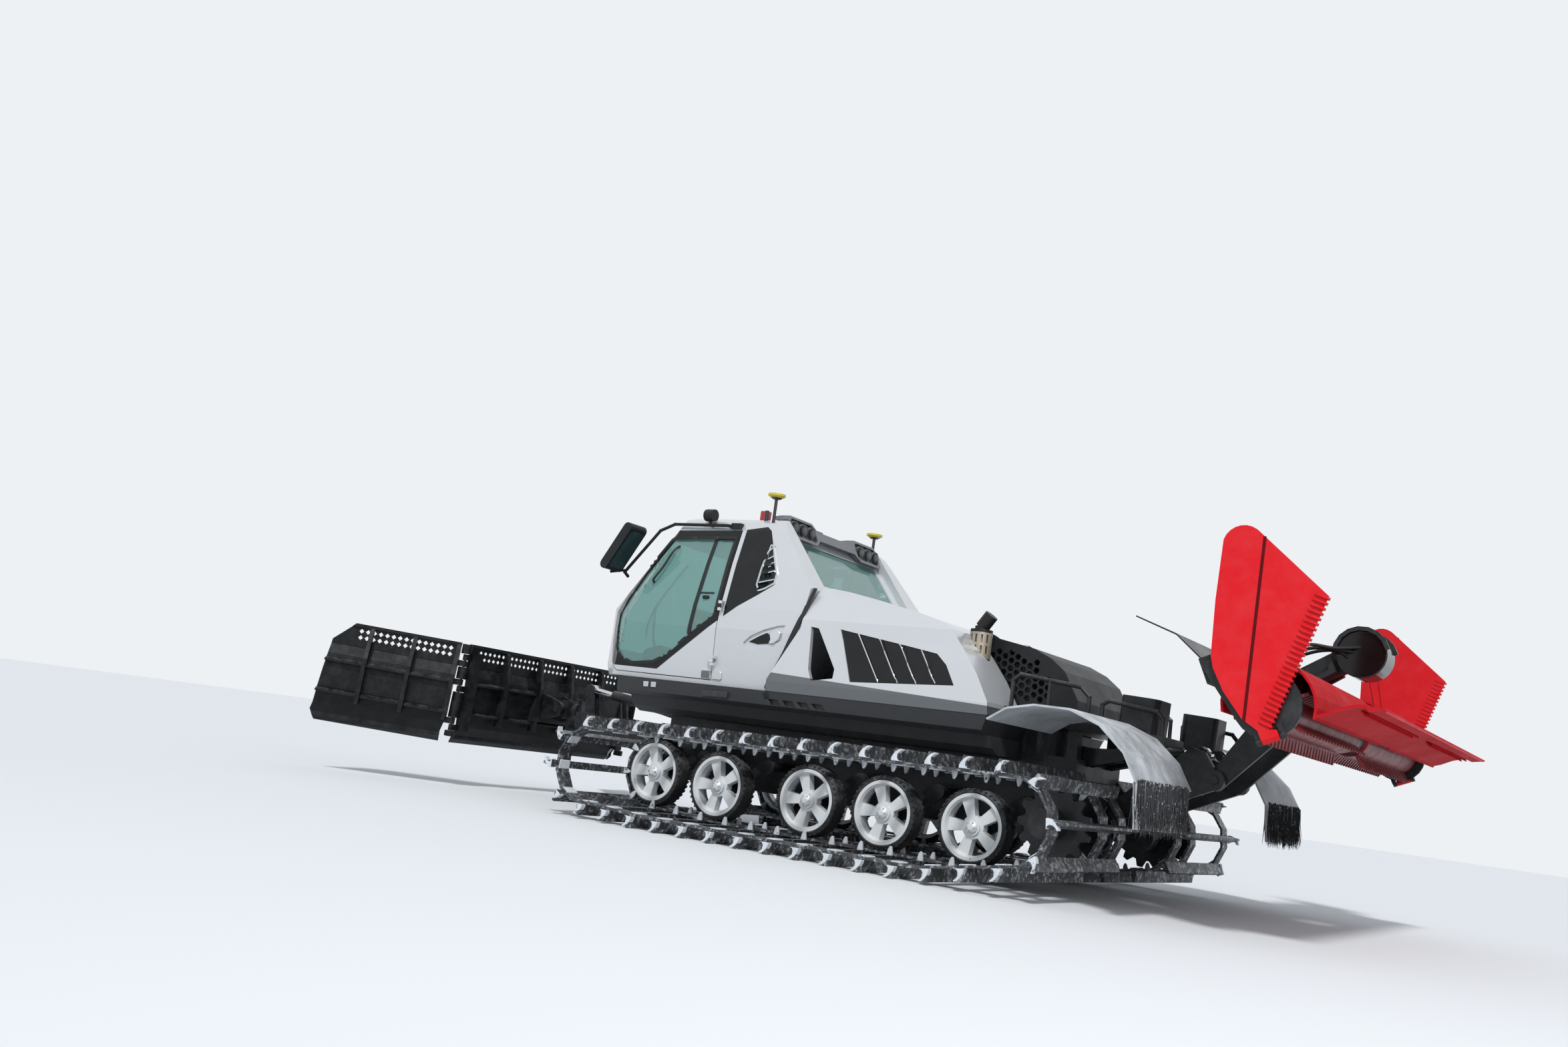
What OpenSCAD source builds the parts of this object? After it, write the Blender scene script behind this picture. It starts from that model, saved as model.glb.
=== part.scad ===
// Tracked snow groomer with a folding front blade and a rear tiller.
// Millimetres. +X is forward, +Y is left, +Z is up, and the tracks stand on z = 0.
// Station x = 0 of the modules is the third road wheel's axle; at_frame() moves it to the origin.

/* [Tracks] */
// Width of one track over its bars
track_w = 1550; // [1300:10:1700]
// Clear width between the two tracks
track_gap = 1160; // [1060:10:1300]
// Distance between track bars along the belt
bar_pitch = 275; // [220:5:330]
// Height of a bar above the belt
bar_h = 95; // [60:5:115]
// Width of a bar at its foot
bar_foot = 62; // [40:1:80]
// Width of a bar at its tip
bar_tip = 20; // [8:1:36]
// Thickness of a belt
belt_t = 20; // [12:1:26]
// Width of a belt
belt_w = 150; // [100:5:200]
// Radius of a road wheel over its tyre
wheel_r = 300; // [280:2:310]
// Width of a tyre
tyre_w = 170; // [130:5:200]
// Radius of the drive sprocket at the belt
sprocket_r = 300; // [260:5:320]

/* [Chassis] */
// Width of the tub between the tracks
tub_w = 960; // [860:10:1000]
// Underside of the tub
tub_z = 400; // [360:10:440]
// Top of the tub
tub_top = 1050; // [1020:5:1080]
// Thickness of the tub's plates
tub_wall = 20; // [12:1:32]
// Radius of the pins of the lifting frames
pin_r = 34; // [28:1:40]

/* [Cab] */
// Half width of the cab at its waist
cab_half = 1150; // [1100:10:1180]
// Thickness of the cab's panels and doors
cab_wall = 32; // [28:1:40]
// Gap round a door
door_gap = 8; // [6:1:10]
// Height of the roof above the ground
roof_z = 2880; // [2840:5:2940]

/* [Body] */
// Half width of the body behind the cab at its foot
body_half = 1250; // [1215:5:1290]
// Thickness of the body panels
body_wall = 40; // [28:1:55]

/* [Blade] */
// Half width of the blade's middle
blade_half = 1300; // [1150:10:1450]
// Height of the blade
blade_h = 970; // [880:10:1050]
// Length of a wing
wing_l = 1340; // [1100:10:1450]
// Forward fold of the wings as parked, in degrees
wing_fold = 48; // [20:1:60]
// Backward lean of the blade, in degrees
blade_lean = 3; // [0:1:8]
// Underside of the blade as parked
blade_z = 455; // [380:5:520]
// Thickness of the blade's plates
blade_t = 14; // [10:1:20]

/* [Tiller] */
// Half width of the tiller's cover
tiller_half = 2150; // [1900:10:2250]
// Upward tilt of the raised tiller, in degrees
tiller_tilt = 24; // [16:1:30]
// Radius of the rotor over its tines
rotor_r = 245; // [220:5:255]
// Thickness of the red cover and finisher plates
plate_t = 16; // [10:1:22]

/* [Hidden] */
frame_x = -260.12;
// Seat gap between pieces that bolt together, gap between a pin and its bore, and a side gap
seat = 0.3;
pin_gap = 0.8;
side_gap = 5;

// Track: outer and inner edges, belts, and the stations of the wheels
track_in = track_gap / 2;
track_out = track_in + track_w;
belt_in_z = bar_h + belt_t;
wheel_x = [1650, 920, -20, -760, -1560];
wheel_lift = [35, 0, 0, 0, 0];
wheel_z = belt_in_z + wheel_r;
sprocket_x = -2270;
sprocket_z = 530;
tyre_in = track_in + 390;
belt_ys = [track_in + 20, tyre_in + 10, track_out - 60 - belt_w];
arc_steps = 6;
// Circles that the belt runs round, anticlockwise seen with +X to the right: x, z, radius
wrap = [
    [sprocket_x, sprocket_z, sprocket_r],
    [wheel_x[4], wheel_z, wheel_r],
    [wheel_x[1], wheel_z, wheel_r],
    [wheel_x[0], wheel_z + wheel_lift[0], wheel_r]
];

// Pivots of the lifting frames
blade_pin = [2200, 620];
arm_y = 400;
arm_t = 70;
blade_eye = [3350, 1150];
blade_cyl_pin = [2300, 1020];
cyl_y = 220;
tiller_pin = [-2300, 620];
head_pin = [-3150, 1020];
tiller_eye = [-3020, 1220];
tiller_cyl_pin = [-2350, 1120];

// Gimbal of the blade
king_x = 3620;
gimbal_z = 910;
king_r = 40;
pitch_x = 3870;
blade_x = 4220;
hinge_back = 20;
hinge_r = 26;
hinge_clear = 62;

function unit(v) = v / norm(v);
function angle_of(v) = atan2(v.y, v.x);
function on_circle(c, r, a) = [c.x + r * cos(a), c.y + r * sin(a)];
function arc(c, r, a0, a1, n) = [for (i = [0:n]) on_circle(c, r, a0 + (a1 - a0) * i / n)];
// A polygon given anticlockwise, with each edge moved inward by d
function inset(p, d) = let (n = len(p)) [
    for (i = [0:n - 1])
        let (
            u = unit(p[i] - p[(i + n - 1) % n]),
            v = unit(p[(i + 1) % n] - p[i]),
            a = [-u.y, u.x],
            b = [-v.y, v.x]
        )
        p[i] + (a + b) * d / (1 + a * b)
];
// A strip of thickness t on the left of an open line
function strip(p, t) = let (
    n = len(p),
    side = [
        for (i = [0:n - 1])
            let (
                u = unit(p[i] - p[max(i - 1, 0)] + (i == 0 ? p[1] - p[0] : [0, 0])),
                v = unit(p[min(i + 1, n - 1)] - p[i] + (i == n - 1 ? p[n - 1] - p[n - 2] : [0, 0])),
                a = [-u.y, u.x],
                b = [-v.y, v.x]
            )
            p[i] + (a + b) * t / (1 + a * b)
    ]
) concat(p, [for (i = [n - 1:-1:0]) side[i]]);

module at_frame() {
    translate([frame_x, 0, 0]) children();
}
// A plate drawn in X and Z, from y0 to y1
module plate(p, y0, y1) {
    translate([0, y1, 0]) rotate([90, 0, 0]) linear_extrude(y1 - y0) polygon(p);
}
// A bar drawn in Y and Z, from x0 to x1
module section(p, x0, x1) {
    translate([x0, 0, 0]) rotate([90, 0, 90]) linear_extrude(x1 - x0) polygon(p);
}
module block(a, b) {
    translate(a) cube(b - a);
}
module rod_y(at, r, y0, y1, fn = 32) {
    translate([at.x, y1, at.y]) rotate([90, 0, 0]) cylinder(h = y1 - y0, r = r, $fn = fn);
}
module rod_between(a, b, r, fn = 20) {
    d = b - a;
    translate(a)
        rotate([0, acos(d.z / norm(d)), atan2(d.y, d.x)])
            cylinder(h = norm(d), r = r, $fn = fn);
}
module both_sides() {
    children();
    mirror([0, 1, 0]) children();
}
// A bent tube; a ball a little larger than the tube closes each bend
module pipe_run(points, r) {
    for (i = [0:len(points) - 2]) rod_between(points[i], points[i + 1], r, 16);
    for (i = [1:len(points) - 2]) translate(points[i]) sphere(r = r + 1.5, $fn = 16);
}

// Track: the belt's line, whose straight steps touch the wheels' circles, and the places of its bars

function tangent(i) = let (
    a = wrap[i],
    b = wrap[(i + 1) % len(wrap)],
    d = [b.x - a.x, b.y - a.y]
) angle_of(d) - acos((a.z - b.z) / norm(d));
function belt_line(d) = [
    for (i = [0:len(wrap) - 1])
        let (
            c = wrap[i],
            a0 = tangent((i + len(wrap) - 1) % len(wrap)),
            a1 = tangent(i),
            turn = (a1 - a0 + 720) % 360,
            n = max(1, round(turn * arc_steps / 180)),
            step = turn / n
        )
        for (k = [0:n - 1]) on_circle([c.x, c.y], (c.z + d) / cos(step / 2), a0 + step * (k + 0.5))
];
function line_lengths(p) = [
    for (i = 0, s = 0; i <= len(p); s = s + norm(p[(i + 1) % len(p)] - p[i % len(p)]), i = i + 1) s
];
bar_line = belt_line(belt_t);
bar_lengths = line_lengths(bar_line);
belt_length = bar_lengths[len(bar_line)];
bar_count = round(belt_length / bar_pitch);
// Bars whose middles lie on step i of the belt
function bars_on(i) = [
    for (k = [0:bar_count - 1])
        let (s = (k + 0.5) * belt_length / bar_count)
        if (bar_lengths[i] <= s && s < bar_lengths[i + 1]) s
];
// Place and direction of the bar at length s on step i, clear of the step's ends: x, z, angle
function bar_place(i, s) = let (
    a = bar_line[i],
    b = bar_line[(i + 1) % len(bar_line)],
    d = (b - a) / norm(b - a),
    reach = bar_foot / 2 + 2,
    t = min(max(s, bar_lengths[i] + reach), bar_lengths[i + 1] - reach) - bar_lengths[i]
) [a.x + d.x * t, a.y + d.y * t, angle_of(d)];
bar_shape = [
    [-bar_foot / 2, 0], [-bar_tip / 2, -bar_h], [bar_tip / 2, -bar_h], [bar_foot / 2, 0]
];
function turned(p, place) = [
    for (q = p) [
        place.x + q.x * cos(place.z) - q.y * sin(place.z),
        place.y + q.x * sin(place.z) + q.y * cos(place.z)
    ]
];
bar_outlines = [
    for (i = [0:len(bar_line) - 1]) [for (s = bars_on(i)) turned(bar_shape, bar_place(i, s))]
];
// The belt's outer line with the bars standing on it
barred_line = [
    for (i = [0:len(bar_line) - 1]) each concat([bar_line[i]], [for (p = bar_outlines[i]) each p])
];

module track() {
    color("#1c1d1f")
    union() {
        for (y = belt_ys)
            difference() {
                plate(barred_line, y, y + belt_w);
                plate(belt_line(0), y - 1, y + belt_w + 1);
            }
        for (step = bar_outlines)
            for (p = step)
                plate(p, track_in, track_out);
    }
}
module track_left() {
    at_frame() track();
}
module track_right() {
    at_frame() mirror([0, 1, 0]) track();
}

// Road wheels: tyres, rims, and the swing arms and axles that carry them
rim_r = wheel_r - 42;
axle_r = 38;
function wheel_at(i) = [wheel_x[i], wheel_z + wheel_lift[i]];

// A tyre is an even ring of flat faces, its inner flats clear of the rim
tyre_faces = 22;
module road_tyres() {
    color("#161616")
    at_frame() both_sides()
        for (i = [0:4])
            difference() {
                plate(arc(wheel_at(i), wheel_r - seat, 0, 360 - 360 / tyre_faces, tyre_faces - 1),
                    tyre_in, tyre_in + tyre_w);
                plate(arc(wheel_at(i), (rim_r + seat) / cos(180 / tyre_faces), 0, 360 - 360 / tyre_faces,
                    tyre_faces - 1), tyre_in - 1, tyre_in + tyre_w + 1);
            }
}

spoke_count = 5;
function window_shape(k) = let (a = k * 360 / spoke_count) concat(
    arc([0, 0], rim_r - 40, a + 14, a + 58, 4),
    arc([0, 0], 92, a + 50, a + 22, 2)
);

module rim(spokes = spoke_count) {
    rotate([-90, 0, 0]) {
        difference() {
            cylinder(h = tyre_w, r = rim_r, $fn = 40);
            translate([0, 0, -1]) cylinder(h = tyre_w / 2 - 20, r = rim_r - 22, $fn = 40);
            translate([0, 0, -1]) cylinder(h = tyre_w - 30, r = axle_r + seat, $fn = 24);
            translate([0, 0, tyre_w - 34]) cylinder(h = 40, r1 = rim_r - 46, r2 = rim_r - 22, $fn = 40);
            for (k = [0:spokes - 1])
                translate([0, 0, -1]) linear_extrude(tyre_w + 2) polygon(window_shape(k));
        }
        difference() {
            translate([0, 0, tyre_w - 110]) cylinder(h = 100, r = 66, $fn = 24);
            translate([0, 0, -1]) cylinder(h = tyre_w - 30, r = axle_r + seat, $fn = 24);
        }
    }
}
module wheel_rims() {
    color("#c9ccce")
    at_frame() both_sides()
        for (i = [0:4]) translate([wheel_at(i).x, tyre_in, wheel_at(i).y]) rim();
}
arm_reach = 330;
module swing_arms() {
    color("#26282a")
    at_frame() both_sides()
        for (i = [0:4]) {
            // Axle, arm, and its pivot on the tub
            pivot = [wheel_at(i).x - arm_reach, tub_z + 240];
            rod_y(wheel_at(i), axle_r, tyre_in - 120, tyre_in + tyre_w / 2);
            eye_plate(pivot, 62, wheel_at(i), 56, tyre_in - 160, tyre_in - 110);
            rod_y(pivot, 40, tub_w / 2 + seat, tyre_in - 130);
        }
}

sprocket_teeth = 13;
module drive_sprockets() {
    color("#2a2c2e")
    at_frame() both_sides()
        translate([sprocket_x, 0, sprocket_z]) rotate([-90, 0, 0]) {
            // Drive motor, hub drum and two toothed discs
            translate([0, 0, tub_w / 2 + seat]) cylinder(h = 170, r = 170, $fn = 40);
            translate([0, 0, tub_w / 2 + 160]) cylinder(h = 820, r = 110, $fn = 32);
            for (z = [track_in + 205, track_in + 620])
                translate([0, 0, z])
                    linear_extrude(36)
                        polygon([
                            for (k = [0:2 * sprocket_teeth - 1])
                                for (h = [-0.28, 0.28])
                                    on_circle([0, 0], k % 2 == 0 ? sprocket_r - 8 : sprocket_r - 62,
                                        (k + h) * 180 / sprocket_teeth)
                        ]);
        }
}

// Chassis

tub_side = [
    [-2100, tub_z + 90], [-1900, tub_z], [1750, tub_z], [2060, tub_z + 120], [2060, tub_top],
    [-2100, tub_top]
];
ear_t = 40;
cyl_pin_r = 20;
eye_pin_r = 16;

module eye_plate(a, ra, b, rb, y0, y1) {
    t = angle_of(b - a);
    plate(concat(arc(a, ra, t + 90, t + 270, 8), arc(b, rb, t - 90, t + 90, 8)), y0, y1);
}

module chassis_tub() {
    color("#232527")
    at_frame() union() {
        difference() {
            plate(tub_side, -tub_w / 2, tub_w / 2);
            plate(inset(tub_side, tub_wall), -tub_w / 2 + tub_wall, tub_w / 2 - tub_wall);
        }
        both_sides() {
            // Front ears and pins of the push frame, and ears of its cylinders
            for (y = [arm_y - arm_t / 2 - ear_t - 5, arm_y + arm_t / 2 + 5])
                plate(
                    concat(
                        [[1990, blade_pin.y - 130]],
                        arc(blade_pin, 70, -60, 60, 8),
                        [[1990, blade_pin.y + 130]]
                    ),
                    y, y + ear_t
                );
            rod_y(blade_pin, pin_r, arm_y - arm_t / 2 - 30, arm_y + arm_t / 2 + 30);
            for (y = [cyl_y - 62, cyl_y + 34])
                plate(
                    concat([[2040, tub_top - 120]], arc(blade_cyl_pin, 50, -60, 90, 8), [[2040, tub_top]]),
                    y, y + 28
                );
            rod_y(blade_cyl_pin, cyl_pin_r, cyl_y - 50, cyl_y + 50);
            // Rear ears and pins of the tiller arms, and ears of their cylinders
            for (y = [tiller_arm_in - ear_t - side_gap, tiller_arm_out + side_gap])
                plate(
                    concat(
                        [[-2050, tiller_pin.y + 150]],
                        arc(tiller_pin, 72, 120, 240, 8),
                        [[-2050, tiller_pin.y - 110]]
                    ),
                    y, y + ear_t
                );
            rod_y(tiller_pin, pin_r, tiller_arm_in - 30, tiller_arm_out + 30);
            for (y = [cyl_y - 62, cyl_y + 34])
                plate(
                    concat(
                        [[-2060, tub_top + 100]],
                        arc(tiller_cyl_pin, 50, 90, 240, 8),
                        [[-2060, tub_top - 60]]
                    ),
                    y, y + 28
                );
            rod_y(tiller_cyl_pin, cyl_pin_r, cyl_y - 50, cyl_y + 50);
            // Posts that carry the deck
            for (x = [-2090, -1740])
                plate(
                    [[x, tub_top - 10], [x + 90, tub_top - 10], [x + 90, deck_under(x + 90) - seat],
                     [x, deck_under(x) - seat]],
                    tub_w / 2 - 90, tub_w / 2
                );
            // Brackets that carry the drive motors
            plate(
                concat(
                    [[-1990, tub_z + 100]], arc([sprocket_x, sprocket_z], 190, 270, 90, 12),
                    [[-1990, tub_top]]
                ),
                tub_w / 2 - 40, tub_w / 2
            );
        }
        // Upper cross wall that the tiller's cylinders pin to
        block([-2100, -cyl_y - 120, tub_top - 10], [-2050, cyl_y + 120, tub_top + 110]);
        // Cab mounts and cross members
        for (x = [600, 1900]) block([x, -tub_w / 2, tub_top - 10], [x + 120, tub_w / 2, cab_low - seat]);
    }
}

module engine_block() {
    color("#5b5d5f")
    at_frame() block([-1630, -430, tub_top + seat], [-250, 430, 1720]);
}

// Skirts and belt under the cab and the body
cab_low = 1280;
belt_low = 1130;
skirt_low = 985;
deck_z = 1350;
deck_t = 62;
deck_front = -1660;
deck_rear = -2950;
deck_half = 1000;
deck_fall = 0.059;
// The deck falls a little towards the rear: heights of its top and its underside
function deck_top(x) = deck_z + (x - deck_front) * deck_fall;
function deck_under(x) = deck_top(x) - deck_t;
tiller_arm_y = 330;
tiller_arm_t = 50;
tiller_arm_in = tiller_arm_y - tiller_arm_t / 2;
tiller_arm_out = tiller_arm_y + tiller_arm_t / 2;

module side_skirts() {
    color("#1f2123")
    at_frame() both_sides() {
        section(
            [[tub_w / 2 + seat, skirt_low], [900, skirt_low], [1010, skirt_low + 50], [1060, belt_low - seat],
             [tub_w / 2 + seat, belt_low - seat]],
            -1600, 2120
        );
    }
}
module lower_belt() {
    color("#26282a")
    at_frame() both_sides() difference() {
        section(
            [[tub_w / 2 + seat, belt_low], [1150, belt_low], [1215, belt_low + 30], [1240, cab_low - seat],
             [tub_w / 2 + seat, cab_low - seat]],
            -1640, 2330
        );
        // Front and rear ends taper in, and four slanted vents are sunk in the side
        translate([2330, 1240, belt_low - 1]) rotate([0, 0, 30]) cube([300, 400, 300], center = true);
        plate([[-1700, 1290], [-1640, 1290], [-1570, 1100], [-1700, 1100]], 0, 1300);
        for (k = [0:3])
            translate([410 - k * 150, 0, 0])
                plate([[0, 1165], [-105, 1165], [-70, 1215], [35, 1215]], 1190, 1300);
    }
}

pad_x = [-2500, -2150];
pad_half = 900;
pad_t = 6;
module rear_deck() {
    color("#2b2d2f")
    at_frame() {
        difference() {
            plate(
                [[deck_rear, deck_under(deck_rear)], [deck_front, deck_under(deck_front)],
                 [deck_front, deck_top(deck_front)], [deck_rear, deck_top(deck_rear)]],
                -deck_half, deck_half
            );
            block([deck_rear - 10, -520, deck_z - 200], [-2560, 520, deck_z + 50]);
        }
        // Plain load pad between the hood and the service boxes
        plate(
            [[pad_x[0], deck_top(pad_x[0]) - 5], [pad_x[1], deck_top(pad_x[1]) - 5],
             [pad_x[1], deck_top(pad_x[1]) + pad_t], [pad_x[0], deck_top(pad_x[0]) + pad_t]],
            -pad_half, pad_half
        );
        // Rounded service boxes on the deck
        both_sides()
            translate([-2840, 560, deck_under(-2840)]) rotate([0, -atan(deck_fall), 0])
                linear_extrude(330)
                    polygon(concat(
                        arc([240, 60], 60, -90, 0, 3), arc([240, 280], 60, 0, 90, 3),
                        arc([60, 280], 60, 90, 180, 3), arc([60, 60], 60, 180, 270, 3)
                    ));
    }
}
rail_r = 17;
rail_y = 960;
function rail_foot(x) = [x, rail_y, deck_top(x + rail_r) + seat];
module deck_rails() {
    color("#1b1c1e")
    at_frame() both_sides() {
        pipe_run([
            rail_foot(-1700), [-1700, rail_y, 1590], [-1760, rail_y, 1640], [-2265, rail_y, 1583],
            [-2340, rail_y, 1515], rail_foot(-2340)
        ], rail_r);
        pipe_run([rail_foot(-2010), [-2010, rail_y, 1611]], rail_r - 2);
        pipe_run([
            rail_foot(-2450), [-2450, rail_y, 1470], [-2500, rail_y, 1500], [-2880, rail_y, 1450],
            [-2925, rail_y, 1400], rail_foot(-2925)
        ], rail_r);
    }
}
flap_t = 14;
flap_line = [
    [-2080, 1200], [-2220, 1290], [-2420, 1330], [-2680, 1325], [-2900, 1240], [-3080, 1080], [-3180, 900]
];
module track_flaps() {
    color("#17181a")
    at_frame() both_sides() union() {
        plate(strip(flap_line, -flap_t), deck_half + seat, track_out + 20);
        // Brush fringe along the rear edge
        plate([[-3180, 920], [-3165, 900], [-3190, 600], [-3200, 600], [-3195, 900]], 1060, track_out + 10);
    }
}

// Cab: four prisms cut one another into the shell's shape
cab_side = [
    [530, cab_low], [2440, cab_low], [2620, 1440], [2730, 1700], [2745, 1850], [2680, 2050],
    [2440, 2370], [2130, roof_z - 140], [2030, roof_z - 70], [1800, roof_z - 25], [1360, roof_z],
    [960, roof_z + 5], [770, roof_z - 10], [730, roof_z - 50], [245, 2215], [270, 1850], [500, 1390]
];
cab_face = [
    [cab_half - 40, cab_low], [cab_half - 20, 1500], [cab_half, 1800], [cab_half - 20, 2000],
    [cab_half - 100, 2400], [cab_half - 190, roof_z - 140], [cab_half - 230, roof_z - 60],
    [cab_half - 300, roof_z - 20], [cab_half - 550, roof_z + 10]
];
function mirrored(p) = concat(p, [for (i = [len(p) - 1:-1:0]) [-p[i].x, p[i].y]]);
// Nose in plan: distance behind the centre of the nose, and half width
nose = [[0, 300], [-35, 620], [-90, 820], [-190, 960], [-350, 1080], [-620, 1230]];
nose_plan = concat(
    [for (i = [len(nose) - 1:-1:0]) [nose[i].x, -nose[i].y]],
    nose,
    [[-4000, 2 * cab_half], [-4000, -2 * cab_half]]
);
nose_x = 2745;
rake = 38.7;
module cab_solid(d) {
    intersection() {
        plate(inset(cab_side, d), -1500, 1500);
        section(inset(mirrored(cab_face), d), -500, 3500);
        translate([nose_x, 0, 1000]) linear_extrude(2500) polygon(inset(nose_plan, d));
        translate([2560, 0, 2210]) rotate([0, -rake, 0]) translate([6, 0, -2500])
            linear_extrude(5000) polygon(inset(nose_plan, d));
    }
}
// Rear wall: sunk between the corner posts, so that they stand out as fins
recess_d = 90;
recess_low = 2250;
recess_half = 810;
function rear_x(z, d) = 245 + (z - 2215) * 0.789 + (recess_d + d) * 1.274;
module rear_recess(d) {
    plate(
        [[0, recess_low - d], [rear_x(recess_low - d, d), recess_low - d],
         [rear_x(roof_z + 60, d), roof_z + 60], [0, roof_z + 60]],
        -recess_half - d, recess_half + d
    );
}
module cab_skin() {
    difference() {
        cab_solid(0);
        difference() {
            cab_solid(cab_wall);
            rear_recess(cab_wall);
        }
        rear_recess(0);
    }
}
door_rear = 1165;
door_outline = [
    [door_rear, 1325], [2300, 1325], [2410, 1420], [2480, 1600], [2490, 1850], [2420, 2100], [2250, 2360],
    [2010, 2660], [1940, 2720], [door_rear, 2740]
];
glass_outline = [
    [1210, 1930], [1450, 1740], [1690, 1530], [1860, 1440], [2120, 1410], [2250, 1450], [2350, 1560],
    [2385, 1750], [2360, 2020], [2220, 2290], [1930, 2640], [1210, 2660]
];
quarter_outline = [
    [1120, 2745], [900, 2780], [840, 2740], [640, 2320], [650, 2220], [800, 2120], [980, 2010], [1120, 1905]
];
screen_outline = [
    [-820, 1560], [820, 1560], [900, 1700], [905, 1900], [830, 2480], [770, 2650], [-770, 2650],
    [-830, 2480], [-905, 1900], [-900, 1700]
];
handle_d = 20;
handle_outline = [
    [440, 1730], [600, 1665], [760, 1620], [840, 1650], [850, 1690], [780, 1750], [640, 1815],
    [500, 1858], [425, 1868]
];
rear_outline = [[-750, 2310], [750, 2310], [750, 2700], [-750, 2700]];

module cab_shell() {
    color("#c4c7ca")
    at_frame() {
        difference() {
            cab_skin();
            plate(door_outline, -1500, -900);
            plate(door_outline, 900, 1500);
            plate(quarter_outline, -1500, -850);
            plate(quarter_outline, 850, 1500);
            section(screen_outline, 2050, 3200);
            section(rear_outline, 0, 900);
            // Sunk handle plates behind the doors
            intersection() {
                difference() {
                    cab_solid(-2);
                    cab_solid(handle_d);
                }
                both_sides() plate(handle_outline, 900, 1500);
            }
        }
        // Lugs and pins of the door hinges
        both_sides() for (z = hinge_zs) {
            for (low = [z - 45, z + 20]) {
                translate([door_pin.x, door_pin.y, low]) cylinder(h = 25, r = 15, $fn = 24);
                block([door_pin.x - 25, cab_half - 38, low], [door_pin.x + 6, door_pin.y, low + 25]);
            }
            translate([door_pin.x, door_pin.y, z - 45]) cylinder(h = 90, r = door_pin_r, $fn = 24);
        }
    }
}
door_pin = [1150, cab_half + 22];
door_pin_r = 7;
hinge_zs = [1500, 2000];
glass_in = 12;
glass_t = 8;
module glass_skin() {
    difference() {
        cab_solid(glass_in);
        cab_solid(glass_in + glass_t);
    }
}
module cab_windows() {
    color("#4a5f5c")
    at_frame() {
        intersection() {
            glass_skin();
            section(inset(screen_outline, seat), 2050, 3200);
        }
        intersection() {
            difference() {
                rear_recess(glass_in + glass_t);
                rear_recess(glass_in);
            }
            section(inset(rear_outline, seat), 0, 900);
        }
    }
}
module quarter_panels() {
    color("#0d0e10")
    at_frame() difference() {
        intersection() {
            difference() {
                cab_solid(2);
                cab_solid(cab_wall);
            }
            both_sides() plate(inset(quarter_outline, seat), 850, 1500);
        }
        // Five slanted vent slots
        both_sides()
            for (k = [0:4])
                plate(
                    [[700 - k * 6, 2215 + k * 82], [812, 2175 + k * 92], [818, 2225 + k * 92],
                     [714 - k * 6, 2262 + k * 82]],
                    850, 1500
                );
    }
}
// Hinge strap in plan, from the pin round the seam to the door's skin
strap_plan = [[0, -14], [28, -20], [28, -60], [52, -60], [52, -8], [34, 8], [0, 14]];
module door_leaf() {
    difference() {
        intersection() {
            cab_skin();
            plate(inset(door_outline, door_gap), 900, 1500);
        }
        plate(glass_outline, 850, 1500);
    }
    for (z = hinge_zs) translate([door_pin.x, door_pin.y, z - 15]) difference() {
        union() {
            cylinder(h = 30, r = 15, $fn = 24);
            linear_extrude(30) polygon(strap_plan);
        }
        translate([0, 0, -1]) cylinder(h = 32, r = door_pin_r + pin_gap, $fn = 24);
    }
}
module door_glass() {
    intersection() {
        glass_skin();
        plate(inset(glass_outline, seat), 850, 1500);
    }
}
module door_left() {
    color("#1a1b1d")
    at_frame() door_leaf();
}
module door_right() {
    color("#1a1b1d")
    at_frame() mirror([0, 1, 0]) door_leaf();
}
module door_glass_left() {
    color("#4a5f5c")
    at_frame() door_glass();
}
module door_glass_right() {
    color("#4a5f5c")
    at_frame() mirror([0, 1, 0]) door_glass();
}

cab_inner_z = cab_low + cab_wall;
module cab_interior() {
    color("#2c2d30")
    at_frame() {
        // Two seats: pedestal, cushion and back
        for (y = [-520, 0]) translate([1150, y, cab_inner_z + seat]) {
            block([-180, -150, 0], [180, 150, 300]);
            block([-250, -240, 300], [290, 240, 430]);
            plate([[-260, 430], [-120, 430], [-250, 1120], [-360, 1120]], -230, 230);
        }
        // Console beside the driver, and the dash under the windscreen
        block([700, 330, cab_inner_z + seat], [1700, 560, cab_inner_z + 520]);
        plate(
            [[2150, cab_inner_z + seat], [2420, cab_inner_z + seat], [2480, 1560], [2250, 1640]],
            -560, 560
        );
    }
}

// Work lamps over the rear window: a hood on the roof's edge with three lamps a side
lamp_r = 58;
lamp_ys = [450, 595, 740];
bar_low = 2718;
bar_top = roof_z + 50;
bar_face = [
    [320, bar_low + 60], [400, bar_low], [750, bar_low], [805, bar_low + 50], [805, bar_top - 45],
    [760, bar_top], [390, bar_top], [320, bar_top - 65]
];
pocket_face = [
    [410, bar_low + 24], [745, bar_low + 24], [782, bar_low + 60], [782, bar_top - 52], [750, bar_top - 24],
    [400, bar_top - 24], [372, bar_top - 50], [372, bar_low + 55]
];
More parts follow.
